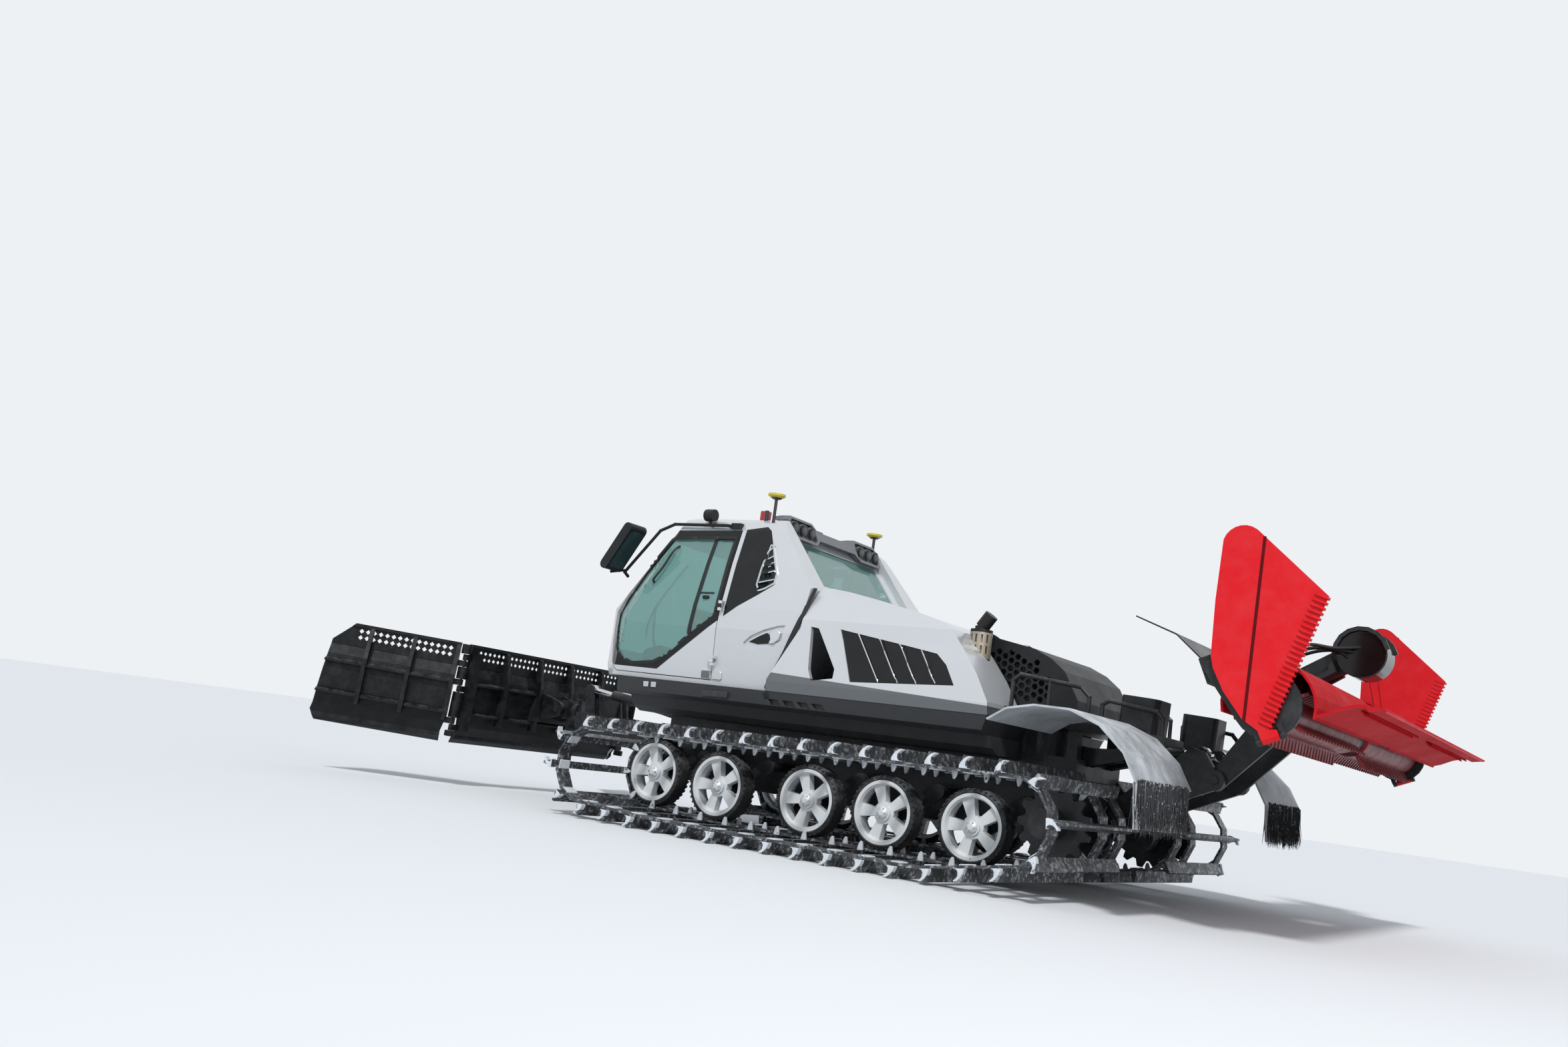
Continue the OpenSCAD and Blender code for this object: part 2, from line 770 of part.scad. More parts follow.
// Outline seen from the side, with its rear face moved in by d
function bar_side(d) = [
    [690 + d, bar_low - 1], [rear_x(bar_low - 1, 0) - seat, bar_low - 1],
    [rear_x(roof_z + 5 + seat, 0) - seat, roof_z + 5 + seat], [960, roof_z + 5 + seat], [960, bar_top - 10],
    [880, bar_top + 1], [800 + d, bar_top + 1]
];
module roof_light_bar() {
    color("#54575a")
    at_frame() {
        difference() {
            intersection() {
                section(mirrored(bar_face), 600, 1000);
                plate(bar_side(0), -900, 900);
            }
            both_sides() difference() {
                section(pocket_face, 600, 1000);
                plate(bar_side(34), 0, 900);
            }
        }
        both_sides() for (y = lamp_ys)
            translate([745, y, (bar_low + bar_top) / 2]) rotate([0, 90, 0])
                cylinder(h = 44, r = lamp_r, $fn = 24);
        // Small box on the roof between the bar's halves
        block([965, -70, roof_z + 5 + seat], [1045, 70, roof_z + 54]);
    }
}
antenna_at = [880, 900];
disc_r = 82;
module roof_antennas() {
    color("#d8c63a")
    at_frame() difference() {
        union() {
            both_sides() translate([antenna_at.x, antenna_at.y, 0]) {
                translate([0, 0, 2760]) cylinder(h = 290, r = 15, $fn = 16);
                translate([0, 0, 3048]) cylinder(h = 30, r1 = 34, r2 = disc_r, $fn = 24);
                translate([0, 0, 3078]) cylinder(h = 18, r = disc_r, $fn = 24);
            }
            // Beacon and aerial stubs
            translate([1120, 700, 2800]) cylinder(h = 170, r = 52, $fn = 24);
            both_sides() translate([1000, 850, 2780]) cylinder(h = 170, r = 20, $fn = 24);
        }
        cab_solid(-seat);
    }
}

// Mirrors: heads on a tube that follows the roof's edge and the front pillar
mirror_top = [2175, 1300, 2650];
mirror_foot = [2395, 1300, 2300];
mirror_r = 48;
roof_lamp = [1540, 985, 2868];
mirror_half = 115;
module mirrors() {
    color("#141516")
    at_frame() both_sides() difference() {
        union() {
            eye_plate(
                [mirror_top.x, mirror_top.z], mirror_r, [mirror_foot.x, mirror_foot.z], mirror_r,
                mirror_top.y - mirror_half, mirror_top.y + mirror_half
            );
            pipe_run([
                [1300, 900, 2775], [1330, 985, 2775], [1960, 985, 2775], [2090, 1030, 2700],
                [2395, 1105, 2270], [2410, 1030, 2240]
            ], 15);
            pipe_run([[2110, 1035, 2672], [2140, 1290, 2700], mirror_top], 12);
            pipe_run([[2380, 1100, 2291], [2400, 1290, 2240], mirror_foot], 12);
            // Box lamp at the rear end of the tube
            block([1180, 880, 2745], [1290, 985, 2800]);
            block([1280, 930, 2765], [1330, 990, 2785]);
            // Round work lamp on the tube
            translate([roof_lamp.x, roof_lamp.y, roof_lamp.z]) rotate([0, 90, 0])
                cylinder(h = 90, r = 58, center = true, $fn = 28);
            translate([roof_lamp.x - 12, roof_lamp.y - 12, 2770]) cube([24, 24, roof_lamp.z - 2810]);
        }
        cab_solid(-seat);
    }
}

// Body behind the cab
body_side = [
    [-1640, cab_low], [475, cab_low], [470, 1385], [238, 1850], [212, 2200], [180, 2250],
    [-90, 2215], [-440, 2150], [-840, 2065], [-1130, 1985], [-1210, 1940], [-1370, 1755], [-1500, 1590],
    [-1630, 1380]
];
body_face = [
    [body_half - 5, cab_low], [body_half, 1370], [1185, 1800], [1170, 1930], [1090, 2060], [960, 2240],
    [600, 2290]
];
module body_solid(d) {
    intersection() {
        plate(inset(body_side, d), -1500, 1500);
        section(inset(mirrored(body_face), d), -2500, 1000);
    }
}
module body_skin() {
    difference() {
        body_solid(0);
        body_solid(body_wall);
    }
}
split_y = 925;
louvre_outline = [[-360, 1425], [-170, 1865], [-830, 1770], [-1120, 1725], [-1220, 1640], [-1320, 1480]];
intake_outline = [[130, 1870], [50, 1860], [-190, 1520], [-190, 1440], [20, 1405], [70, 1500]];
module side_panel() {
    difference() {
        intersection() {
            body_skin();
            block([-2000, split_y + seat, 1000], [800, 1400, 2400]);
        }
        plate(louvre_outline, 1000, 1500);
        plate(intake_outline, 1000, 1500);
    }
}
module side_panel_left() {
    color("#c4c7ca")
    at_frame() side_panel();
}
module side_panel_right() {
    color("#c4c7ca")
    at_frame() mirror([0, 1, 0]) side_panel();
}
module body_top() {
    color("#b4b7ba")
    at_frame() {
        difference() {
            intersection() {
                difference() {
                    body_solid(0);
                    translate([0, 0, -body_wall]) body_solid(0);
                }
                block([-2000, -split_y, 1385], [800, split_y, 2400]);
            }
            block([-2100, -hood_half - 30, 1000], [body_rear, hood_half + 30, 2400]);
            both_sides() translate([exhaust_at.x, exhaust_at.y, 1500])
                cylinder(h = 600, r = shield_r + seat, $fn = 32);
        }
        // Lugs and pins of the hood's hinges
        both_sides() for (y = hood_hinge_ys) {
            for (low = [y - 45, y + 20])
                plate(
                    concat(
                        arc(hood_pin, 15, 90, 270, 8),
                        [[body_rear + 10, 1955], [body_rear + 70, 1985], [body_rear + 20, 2010]]
                    ),
                    low, low + 25
                );
            rod_y(hood_pin, hood_pin_r, y - 45, y + 45);
        }
    }
}
// Louvre window: a sunk pane with slanted bars; each row gives a bar's top and bottom x
louvre_bars = [[-350, -640], [-560, -815], [-760, -985], [-970, -1155]];
louvre_in = 12;
module side_louvres() {
    color("#101113")
    at_frame() both_sides() intersection() {
        difference() {
            body_solid(2);
            body_solid(24);
        }
        plate(inset(louvre_outline, seat), 1000, 1500);
        union() {
            difference() {
                body_solid(louvre_in);
                body_solid(body_wall);
            }
            for (b = louvre_bars)
                plate([[b[1], 1440], [b[1] + 16, 1440], [b[0] + 16, 1850], [b[0], 1850]], 1000, 1500);
        }
    }
}

exhaust_at = [-1290, 790];
shield_r = 92;
module exhaust_stack() {
    color("#3a3632")
    at_frame() translate([exhaust_at.x, exhaust_at.y, 0]) {
        difference() {
            translate([0, 0, 1750]) cylinder(h = 240, r = shield_r, $fn = 32);
            translate([0, 0, 1757]) cylinder(h = 240, r = shield_r - 8, $fn = 32);
            for (a = [0:30:330])
                for (z = [1790, 1880])
                    rotate([0, 0, a]) translate([shield_r - 20, -9, z]) cube([40, 18, 66]);
        }
        translate([0, 0, 1700]) cylinder(h = 320, r = 58, $fn = 32);
        translate([0, 0, 2010]) rotate([0, -35, 0]) cylinder(h = 130, r = 58, $fn = 32);
    }
}

// Hood over the engine: hinged at its front edge, open below and at the front
hood_pin = [-1172, 2006];
hood_pin_r = 8;
hood_hinge_ys = [400];
body_rear = -1160;
hood_half = 620;
hood_wall = 25;
hood_side = [
    [-2120, deck_top(-2120) + side_gap], [deck_front, deck_z + side_gap], [-1180, deck_z + side_gap],
    [-1180, 1985], [-1690, 1890], [-1850, 1820], [-1980, 1720], [-2110, 1500]
];
hole_pitch = 66;
hole_r = 27;
module engine_hood() {
    color("#131416")
    at_frame() {
        difference() {
            plate(hood_side, -hood_half, hood_half);
            plate(inset(hood_side, hood_wall), -hood_half + hood_wall, hood_half - hood_wall);
            block([-2120 + hood_wall, -hood_half + hood_wall, deck_z - 60],
                [-1100, hood_half - hood_wall, deck_z + 60]);
            block([-1206, -hood_half + hood_wall, deck_z], [-1100, hood_half - hood_wall, 1954]);
            // Honeycomb of cooling holes in both side walls
            for (i = [0:9])
                for (k = [0:(i < 5 ? 5 : i < 8 ? 4 : 2)])
                    rod_y(
                        [-1330 - i * hole_pitch * 0.866, 1480 + (k + (i % 2) / 2) * hole_pitch], hole_r,
                        -hood_half - 10, hood_half + 10, 6
                    );
        }
        both_sides() for (y = hood_hinge_ys) difference() {
            plate(
                concat(arc(hood_pin, 15, -90, 90, 8), [[-1240, 1992], [-1300, 1955], [-1200, 1965]]),
                y - 15, y + 15
            );
            rod_y(hood_pin, hood_pin_r + pin_gap, y - 20, y + 20);
        }
    }
}

// Blade

module push_frame() {
    color("#151617")
    at_frame() union() {
        both_sides() {
            difference() {
                eye_plate(blade_pin, 72, [3250, 820], 90, arm_y - arm_t / 2, arm_y + arm_t / 2);
                rod_y(blade_pin, pin_r + pin_gap, arm_y - arm_t, arm_y + arm_t);
            }
            // Lugs that carry the lift cylinders' eyes
            for (y = [cyl_y - 62, cyl_y + 34])
                plate(concat([[3240, 860], [3360, 860]], arc(blade_eye, 52, -20, 200, 8)), y, y + 28);
            rod_y(blade_eye, eye_pin_r, cyl_y - 50, cyl_y + 50);
        }
        block([3180, -arm_y - arm_t / 2, 740], [3340, arm_y + arm_t / 2, 900]);
        // Fork with the upright king pin
        for (z = [gimbal_z - 185, gimbal_z + 130])
            translate([0, 0, z]) linear_extrude(55)
                polygon(concat([[3300, -150]], arc([king_x, 0], 85, -90, 90, 8), [[3300, 150]]));
        block([3290, -150, gimbal_z - 185], [3360, 150, gimbal_z + 185]);
        translate([king_x, 0, gimbal_z - 180]) cylinder(h = 360, r = king_r, $fn = 32);
    }
}
module swing_yoke() {
    color("#1a1b1d")
    at_frame() union() {
        difference() {
            translate([king_x, 0, gimbal_z - 122]) cylinder(h = 244, r = 78, $fn = 40);
            translate([king_x, 0, gimbal_z - 200]) cylinder(h = 400, r = king_r + pin_gap, $fn = 32);
        }
        translate([king_x + 70, 0, gimbal_z]) rotate([0, 90, 0]) cylinder(h = 60, r = 80, $fn = 32);
        translate([king_x + 100, 0, gimbal_z]) rotate([0, 90, 0]) cylinder(h = 260, r = 45, $fn = 32);
    }
}
module tilt_block() {
    color("#202224")
    at_frame() difference() {
        union() {
            block([pitch_x - 85, -110, gimbal_z - 100], [pitch_x + 85, 110, gimbal_z + 100]);
            rod_y([pitch_x, gimbal_z], 36, -185, 185);
        }
        translate([pitch_x - 200, 0, gimbal_z]) rotate([0, 90, 0])
            cylinder(h = 400, r = 45 + pin_gap, $fn = 32);
    }
}

// Blade section: x forward of the blade's line, height above its foot
board = [[60, 0], [0, 130], [-35, 300], [-45, 480], [-30, 640], [0, 760]];
guard_low = 750;
module at_blade() {
    translate([blade_x, 0, blade_z]) rotate([0, -blade_lean, 0]) children();
}
module board_between(y0, y1) {
    plate(strip(board, -blade_t), y0, y1);
    // Cutting edge, ledges and top rail
    plate([[40, 0], [75, -40], [90, -40], [62, 40], [40, 60]], y0, y1);
    plate([[-100, 250], [-40, 250], [-46, 290], [-100, 270]], y0, y1);
    plate([[-110, 560], [-48, 560], [-44, 600], [-110, 580]], y0, y1);
    plate([[-10, 740], [14, 740], [14, 790], [-10, 790]], y0, y1);
    block([-8, y0, guard_low], [4, y1, blade_h - 30]);
    block([-30, y0, blade_h - 30], [20, y1, blade_h]);
}
// Upright rib behind the board
rib_shape = [
    [-130, 180], [-40, 180], [-50, 480], [-20, 740], [-4, blade_h - 10], [-60, blade_h - 40], [-130, 640]
];
lug_h = 60;
hinge_pin_r = 12;
middle_lugs = [90, 480, 800];
wing_lugs = [155, 545, 735];
middle_half = blade_half - hinge_clear;
middle_shape = [
    [middle_half - 45, -60], [middle_half - 45, 60], [middle_half, 230], [middle_half, blade_h]
];
// Punched holes of the guard band, standing on their corners
guard_pitch = 64;
module guard_holes(y0, y1) {
    n = floor((y1 - y0) / guard_pitch);
    for (i = [0:n - 1])
        for (z = [guard_low + 85, guard_low + 85 + guard_pitch])
            translate([0, (y0 + y1) / 2 + (i - (n - 1) / 2) * guard_pitch, z])
                rotate([45, 0, 0]) cube([60, 34, 34], center = true);
}
module blade_middle() {
    color("#17181a")
    at_frame() union() {
        at_blade() {
            difference() {
                intersection() {
                    board_between(-middle_half, middle_half);
                    section(mirrored(middle_shape), -400, 400);
                }
                guard_holes(-middle_half + 100, middle_half - 100);
            }
            for (y = [-760, -260, 220, 720]) plate(rib_shape, y, y + 40);
            both_sides() {
                // Hinge post, knuckles and pin
                block([-110, middle_half - 90, 100], [-30, middle_half, blade_h - 80]);
                for (z = middle_lugs) {
                    translate([-hinge_back, blade_half, z]) cylinder(h = lug_h, r = hinge_r, $fn = 24);
                    block([-hinge_back - 30, middle_half - 20, z], [-hinge_back + 10, blade_half, z + lug_h]);
                }
                translate([-hinge_back, blade_half, middle_lugs[0]])
                    cylinder(h = middle_lugs[2] + lug_h - middle_lugs[0], r = hinge_pin_r, $fn = 24);
            }
        }
        // Ears on the trunnions, joined to the board's back
        both_sides() difference() {
            plate(
                concat([[4130, 1060]], arc([pitch_x, gimbal_z], 75, 100, 260, 8), [[4130, 760]]),
                120, 180
            );
            rod_y([pitch_x, gimbal_z], 36 + pin_gap, 100, 200);
        }
        block([4075, -280, 740], [4160, 280, 1090]);
    }
}
wing_shape = [
    [hinge_clear + 45, -60], [wing_l, -60], [wing_l + 60, 60], [wing_l + 40, 130],
    [wing_l - 20, blade_h - 190], [wing_l - 220, blade_h], [hinge_clear, blade_h],
    [hinge_clear, 230], [hinge_clear + 45, 60]
];
module wing() {
    at_blade()
        translate([-hinge_back, blade_half, 0])
            rotate([0, 0, -wing_fold])
                translate([hinge_back, 0, 0]) {
                    intersection() {
                        union() {
                            difference() {
                                board_between(hinge_clear, wing_l + 80);
                                guard_holes(hinge_clear + 50, wing_l - 230);
                            }
                            for (y = [hinge_clear, 500, 930]) plate(rib_shape, y, y + 40);
                        }
                        section(wing_shape, -400, 400);
                    }
                    difference() {
                        for (z = wing_lugs) {
                            translate([-hinge_back, 0, z]) cylinder(h = lug_h, r = hinge_r, $fn = 24);
                            block([-hinge_back - 30, 0, z], [-hinge_back + 10, hinge_clear + 20, z + lug_h]);
                        }
                        translate([-hinge_back, 0, 0])
                            cylinder(h = blade_h, r = hinge_pin_r + pin_gap, $fn = 24);
                    }
                }
}
module wing_left() {
    color("#17181a")
    at_frame() wing();
}
module wing_right() {
    color("#17181a")
    at_frame() mirror([0, 1, 0]) wing();
}

// Lift cylinders: a barrel on its pin, and a rod whose eye sits on the lifted frame's pin.
// The eye is bored wide, because the real linkage closes there.
barrel_r = 50;
rod_r = 28;
eye_half = 31;
eye_bore_r = 34;
module cylinder_barrel(pin, eye_at, length) {
    d = unit(eye_at - pin);
    a = [pin.x, cyl_y, pin.y];
    dir = [d.x, 0, d.y];
    difference() {
        union() {
            rod_between(a + dir * 20, a + dir * 70, 26, 32);
            rod_between(a + dir * 62, a + dir * length, barrel_r, 32);
            rod_y(pin, 42, cyl_y - 28, cyl_y + 28);
        }
        rod_between(a + dir * 90, a + dir * (length + 10), rod_r + pin_gap, 32);
        rod_y(pin, cyl_pin_r + pin_gap, cyl_y - 60, cyl_y + 60);
    }
}
module cylinder_rod(pin, eye_at, inside) {
    d = unit(eye_at - pin);
    a = [pin.x, cyl_y, pin.y];
    b = [eye_at.x, cyl_y, eye_at.y];
    dir = [d.x, 0, d.y];
    difference() {
        union() {
            rod_between(a + dir * inside, b - dir * 38, rod_r, 32);
            rod_y(eye_at, 48, cyl_y - eye_half, cyl_y + eye_half);
        }
        rod_y(eye_at, eye_bore_r, cyl_y - 60, cyl_y + 60);
    }
}
module blade_lift_barrels() {
    color("#1c1d1f")
    at_frame() both_sides() cylinder_barrel(blade_cyl_pin, blade_eye, 760);
}
module blade_lift_rods() {
    color("#b9bcbe")
    at_frame() both_sides() cylinder_rod(blade_cyl_pin, blade_eye, 400);
}
module tiller_lift_barrels() {
    color("#1c1d1f")
    at_frame() both_sides() cylinder_barrel(tiller_cyl_pin, tiller_eye, 520);
}
module tiller_lift_rods() {
    color("#b9bcbe")
    at_frame() both_sides() cylinder_rod(tiller_cyl_pin, tiller_eye, 140);
}

// Tiller: drawn level, with the head pin at 0, and tilted up as parked
module at_tiller() {
    translate([head_pin.x, 0, head_pin.y]) rotate([0, tiller_tilt, 0]) children();
}
rotor_at = [-950, 85];
guard_at = [-1300, 590];
apron_line = [[-150, 1094], [-380, 872], [-545, 530], [-680, 490]];
// Fold axis of the side plates, and the stations of its ears
fold_y = tiller_half + 50;
fold_z = -130;
fold_pin_r = 10;
finisher_ears = [-1000, -848];
lug_x = [finisher_ears[0] + 30 + side_gap, finisher_ears[1] - side_gap];
finisher_in = tiller_half + 60;
module tiller_arms() {
    color("#151617")
    at_frame() both_sides() {
        difference() {
            union() {
                plate(
                    concat(
                        arc(tiller_pin, 72, -30, -150, 6),
                        arc(head_pin, 80, 270, 90, 8),
                        [[tiller_eye.x - 50, tiller_eye.y], [tiller_eye.x + 60, tiller_eye.y + 30]],
                        [[tiller_pin.x - 60, tiller_pin.y + 130]]
                    ),
                    tiller_arm_in, tiller_arm_out
                );
                rod_y(tiller_eye, eye_pin_r, cyl_y - 50, tiller_arm_y);
                rod_y(tiller_eye, 30, cyl_y - 50, cyl_y - 38);
            }
            rod_y(tiller_pin, pin_r + pin_gap, 0, 600);
            rod_y(head_pin, pin_r + pin_gap, 0, 600);
            for (t = [0.3, 0.42, 0.54, 0.66])
                rod_y(tiller_pin + (head_pin - tiller_pin) * t + [0, 40], 22, 0, 600);
        }
    }
}
ear_y = tiller_arm_in - 6;
cover_in = rotor_r + 35;
drive_half = 140;
beam_low = 345;
module tiller_frame() {
    color("#1b1c1e")
    at_frame() at_tiller() union() {
        // Main beam, its ears and pins
        block([-800, -tiller_half + 60, beam_low], [-620, tiller_half - 60, beam_low + 175]);
        both_sides() {
            plate(
                concat(arc([0, 0], 80, -90, 90, 8), [[-640, 480], [-780, 340], [-560, 150]]),
                ear_y - 40, ear_y
            );
            rod_y([0, 0], pin_r, ear_y - 30, tiller_arm_out + 20);
            // End plates that carry the rotor
            difference() {
                plate(
                    concat([[-640, 470], [-860, 470]], arc(rotor_at, rotor_r - 30, 160, 350, 12)),
                    tiller_half + seat, tiller_half + 26
                );
                rod_y(rotor_at, shaft_r + pin_gap, tiller_half - 50, tiller_half + 60);
            }
            // Hangers between the beam and the end plates
            block([-860, tiller_half - 70, 400], [-640, tiller_half + 10, 470]);
            // Ears and pin of the folding side plate
            for (x = finisher_ears) {
                translate([x, fold_y, fold_z]) rotate([0, 90, 0]) cylinder(h = 30, r = 22, $fn = 24);
                block([x, tiller_half + 10, fold_z], [x + 30, fold_y, fold_z + 80]);
            }
            translate([finisher_ears[0], fold_y, fold_z]) rotate([0, 90, 0])
                cylinder(h = finisher_ears[1] + 30 - finisher_ears[0], r = fold_pin_r, $fn = 24);
        }
        // Centre drive between the rotor's halves, hung from the beam
        difference() {
            union() {
                rod_y(rotor_at, 125, -drive_half, drive_half);
                plate([[-790, beam_low + 5], [-650, beam_low + 5], [-860, 40], [-1020, 180]], -55, 55);
            }
            rod_y(rotor_at, shaft_r + pin_gap, -drive_half - 10, drive_half + 10);
        }
        // Round guard over the centre drive, on its bracket
        rod_y(guard_at, 180, -150, 150);
        for (y = [-178, 150]) plate(strip(arc(guard_at, 205, 20, 190, 8), 30), y, y + 28);
        both_sides() plate(strip([[-1095, 640], [-1085, 520], [-800, 470]], 40), 120, 178);
        plate([[-780, 500], [-640, 505], [-760, 640], [-1200, 700], [-1200, 520]], -60, 60);
        // Black front apron
        plate(strip(apron_line, -10), -1500, 1500);
    }
}
// Cover round the rotor in two halves, and the finishing mat that trails behind them
cover_end = 217;
mat_line = [
    on_circle(rotor_at, cover_in + 4, cover_end - 2), [-1250, -86], [-1350, -82], [-1430, -92], [-1500, -114]
];
mat_corner = 170;
comb_pitch = 62;
comb_h = 34;
comb_t = 8;
comb_xs = [-1440, -1475];
function mat_z(x) = mat_line[3].y
    + (x - mat_line[3].x) * (mat_line[4].y - mat_line[3].y) / (mat_line[4].x - mat_line[3].x);
// A row of triangular teeth that hang from the mat
function comb(y0, y1, z) = let (n = round((y1 - y0) / comb_pitch), p = (y1 - y0) / n) concat(
    [[y1, z - seat], [y0, z - seat]],
    [for (k = [0:n - 1]) each [[y0 + k * p, z - 12], [y0 + (k + 0.5) * p, z - comb_h]]],
    [[y1, z - 12]]
);
module tiller_cover() {
    color("#c8202c")
    at_frame() at_tiller() union() {
        both_sides()
            plate(strip(arc(rotor_at, cover_in, 10, cover_end, 14), -plate_t), drive_half + 30, tiller_half);
        difference() {
            union() {
                plate(strip(mat_line, -plate_t), -tiller_half, tiller_half);
                // Two thinner layers that step out under its rear edge
                for (k = [1:2])
                    plate(
                        [[-1490, -122 - 7 * k], [-1500 - 45 * k, -122 - 20 * k],
                         [-1500 - 45 * k, -112 - 20 * k], [-1490, -100 - 7 * k]],
                        -tiller_half, tiller_half
                    );
            }
            // Rounded rear corners
            both_sides() translate([-1350, tiller_half, -600]) rotate([0, 0, 50]) cube([600, 400, 900]);
        }
        both_sides() for (x = comb_xs)
            section(comb(300, tiller_half - mat_corner, mat_z(x)), x, x + comb_t);
    }
}
// Rotor: a drum in two halves on one shaft, with rows of teeth as sawtooth bars
shaft_r = 40;
drum_r = 150;
tooth_rows = 6;
tooth_pitch = 84;
function saw(y0, y1, foot, tip) = let (n = round((y1 - y0) / tooth_pitch), p = (y1 - y0) / n) concat(
    [[y1, drum_r - 10], [y0, drum_r - 10]],
    [for (k = [0:n - 1]) each [
        [y0 + (k + 0.1) * p, foot], [y0 + (k + 0.36) * p, tip], [y0 + (k + 0.6) * p, tip],
        [y0 + (k + 0.86) * p, foot]
    ]],
    [[y1, foot]]
);
module tiller_rotor() {
    color("#7d1b22")
    at_frame() at_tiller() translate([rotor_at.x, 0, rotor_at.y]) rotate([90, 0, 0]) {
        cylinder(h = 2 * tiller_half + 40, r = shaft_r, center = true, $fn = 32);
        for (side = [0, 1]) mirror([0, 0, side]) {
            translate([0, 0, drive_half + 20])
                cylinder(h = tiller_half - drive_half - 50, r = drum_r, $fn = 40);
            for (k = [0:tooth_rows - 1])
                rotate([0, 0, (k + side / 2) * 360 / tooth_rows]) rotate([90, 0, 90])
                    translate([0, 0, -8]) linear_extrude(16) mirror([1, -1])
                        polygon(saw(drive_half + 30, tiller_half - 40, drum_r + 12, rotor_r));
        }
    }
}
// Folding side plate: its toothed edge runs from tooth_from to tooth_to
tooth_from = [-1538, 584];
tooth_to = [-925, -73];
finisher_shape = concat(
    [[lug_x[0], fold_z], [lug_x[0], -90], tooth_to, tooth_from],
    arc([-1165, 1080], 135, 150, 40, 7),
    [[-881, 810], [-735, 480], [-722, 400], [-733, 240], [-785, 40], [lug_x[1], -60], [lug_x[1], fold_z]]
);
tooth_count = 26;
rib_out = 6;
// Place of a tooth on the toothed edge: x, z, angle
function tooth_place(k) = let (p = tooth_from + (tooth_to - tooth_from) * (k + 0.5) / tooth_count)
    [p.x, p.y, angle_of(tooth_to - tooth_from)];
// The crease that folds the plate, as a groove in its outer face, and stiffeners on its inner face
crease = [[-1311, 1085], [-792, 20]];
module finisher() {
    at_tiller() difference() {
        union() {
            plate(finisher_shape, finisher_in, finisher_in + plate_t);
            for (k = [0:tooth_count - 1])
                plate(
                    turned([[-9, -12], [9, -12], [9, 76], [0, 84], [-9, 76]], tooth_place(k)),
                    finisher_in - rib_out, finisher_in + plate_t + rib_out
                );
            for (s = [[[-850, 60], [-1110, 1130]], [[-815, 80], [-1005, 1060]]])
                plate(strip(s, 26), finisher_in - 12, finisher_in + 1);
            translate([lug_x[0], fold_y, fold_z]) rotate([0, 90, 0])
                cylinder(h = lug_x[1] - lug_x[0], r = 22, $fn = 24);
        }
        translate([-1100, fold_y, fold_z]) rotate([0, 90, 0])
            cylinder(h = 350, r = fold_pin_r + pin_gap, $fn = 24);
        plate(strip(crease, 9), finisher_in + plate_t - 4, finisher_in + plate_t + 1);
    }
}
module finisher_left() {
    color("#d3232f")
    at_frame() finisher();
}
module finisher_right() {
    color("#d3232f")
    at_frame() mirror([0, 1, 0]) finisher();
}

chassis_tub();
engine_block();
side_skirts();
lower_belt();
rear_deck();
deck_rails();
cab_shell();
cab_interior();
cab_windows();
quarter_panels();
roof_light_bar();
roof_antennas();
mirrors();
body_top();
side_panel_left();
side_panel_right();
side_louvres();
exhaust_stack();
track_left();
track_right();
road_tyres();
wheel_rims();
swing_arms();
drive_sprockets();
track_flaps();
engine_hood();
door_left();
door_right();
door_glass_left();
door_glass_right();
push_frame();
swing_yoke();
tilt_block();
blade_middle();
wing_left();
wing_right();
blade_lift_barrels();
blade_lift_rods();
tiller_arms();
tiller_frame();
tiller_cover();
tiller_rotor();
finisher_left();
finisher_right();
tiller_lift_barrels();
tiller_lift_rods();
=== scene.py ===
# %% [markdown]
# # A tracked snow groomer, dressed for the camera
# The machine's solids come from the CAD pack and stay where they are. This file gives every
# solid a real finish, adds the fine pieces that a CAD solid leaves out, and sets up a small
# studio. All lengths are metres, +X is forward, +Y is the driver's left and +Z is up.

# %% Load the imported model
import math

import bpy
import numpy as np
from mathutils import Matrix, Vector
from mathutils.bvhtree import BVHTree


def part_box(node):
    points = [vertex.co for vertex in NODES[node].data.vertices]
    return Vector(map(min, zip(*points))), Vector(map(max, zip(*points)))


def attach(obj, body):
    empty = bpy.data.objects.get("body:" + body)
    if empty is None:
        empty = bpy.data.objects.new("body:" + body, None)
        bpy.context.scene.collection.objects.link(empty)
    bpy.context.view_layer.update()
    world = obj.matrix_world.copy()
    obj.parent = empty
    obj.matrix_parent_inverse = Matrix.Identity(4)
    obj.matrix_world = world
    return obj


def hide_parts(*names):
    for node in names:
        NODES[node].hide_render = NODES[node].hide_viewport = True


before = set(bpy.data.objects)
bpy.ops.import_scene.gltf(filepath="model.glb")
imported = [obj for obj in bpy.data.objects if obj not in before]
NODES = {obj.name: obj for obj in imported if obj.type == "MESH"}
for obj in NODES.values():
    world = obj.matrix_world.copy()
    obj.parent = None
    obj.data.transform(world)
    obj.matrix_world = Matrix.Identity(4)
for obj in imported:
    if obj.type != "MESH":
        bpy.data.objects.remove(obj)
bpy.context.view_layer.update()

# %% [markdown]
# ## The frame's origin
# The CAD source measures along the machine from the third road wheel's axle. Its origin sits
# under the middle of the whole machine, so a station along X is moved by one number.

# %% Stations along the machine
FRAME_X = -0.26012


def at(x, y, z):
    """A point given by its station from the third road wheel's axle, in the row frame."""
    return np.array([x + FRAME_X, y, z])


print("the third road wheel's axle is at x", at(0, 0, 0)[0])

# %% [markdown]
# ## Camera
# The photograph was taken from low down, behind the left side, with the camera rolled a little.
# The view was worked out from points of the cab, the tracks and the deck, and is given as an eye
# point, three angles and a focal length.

# %% Camera
EYE = at(-6.3288, 10.9428, 0.7799)
YAW, PITCH, ROLL = -0.95618675, 0.16480509, 0.13861931
FOCAL_MM, SENSOR_MM = 31.325, 36.0


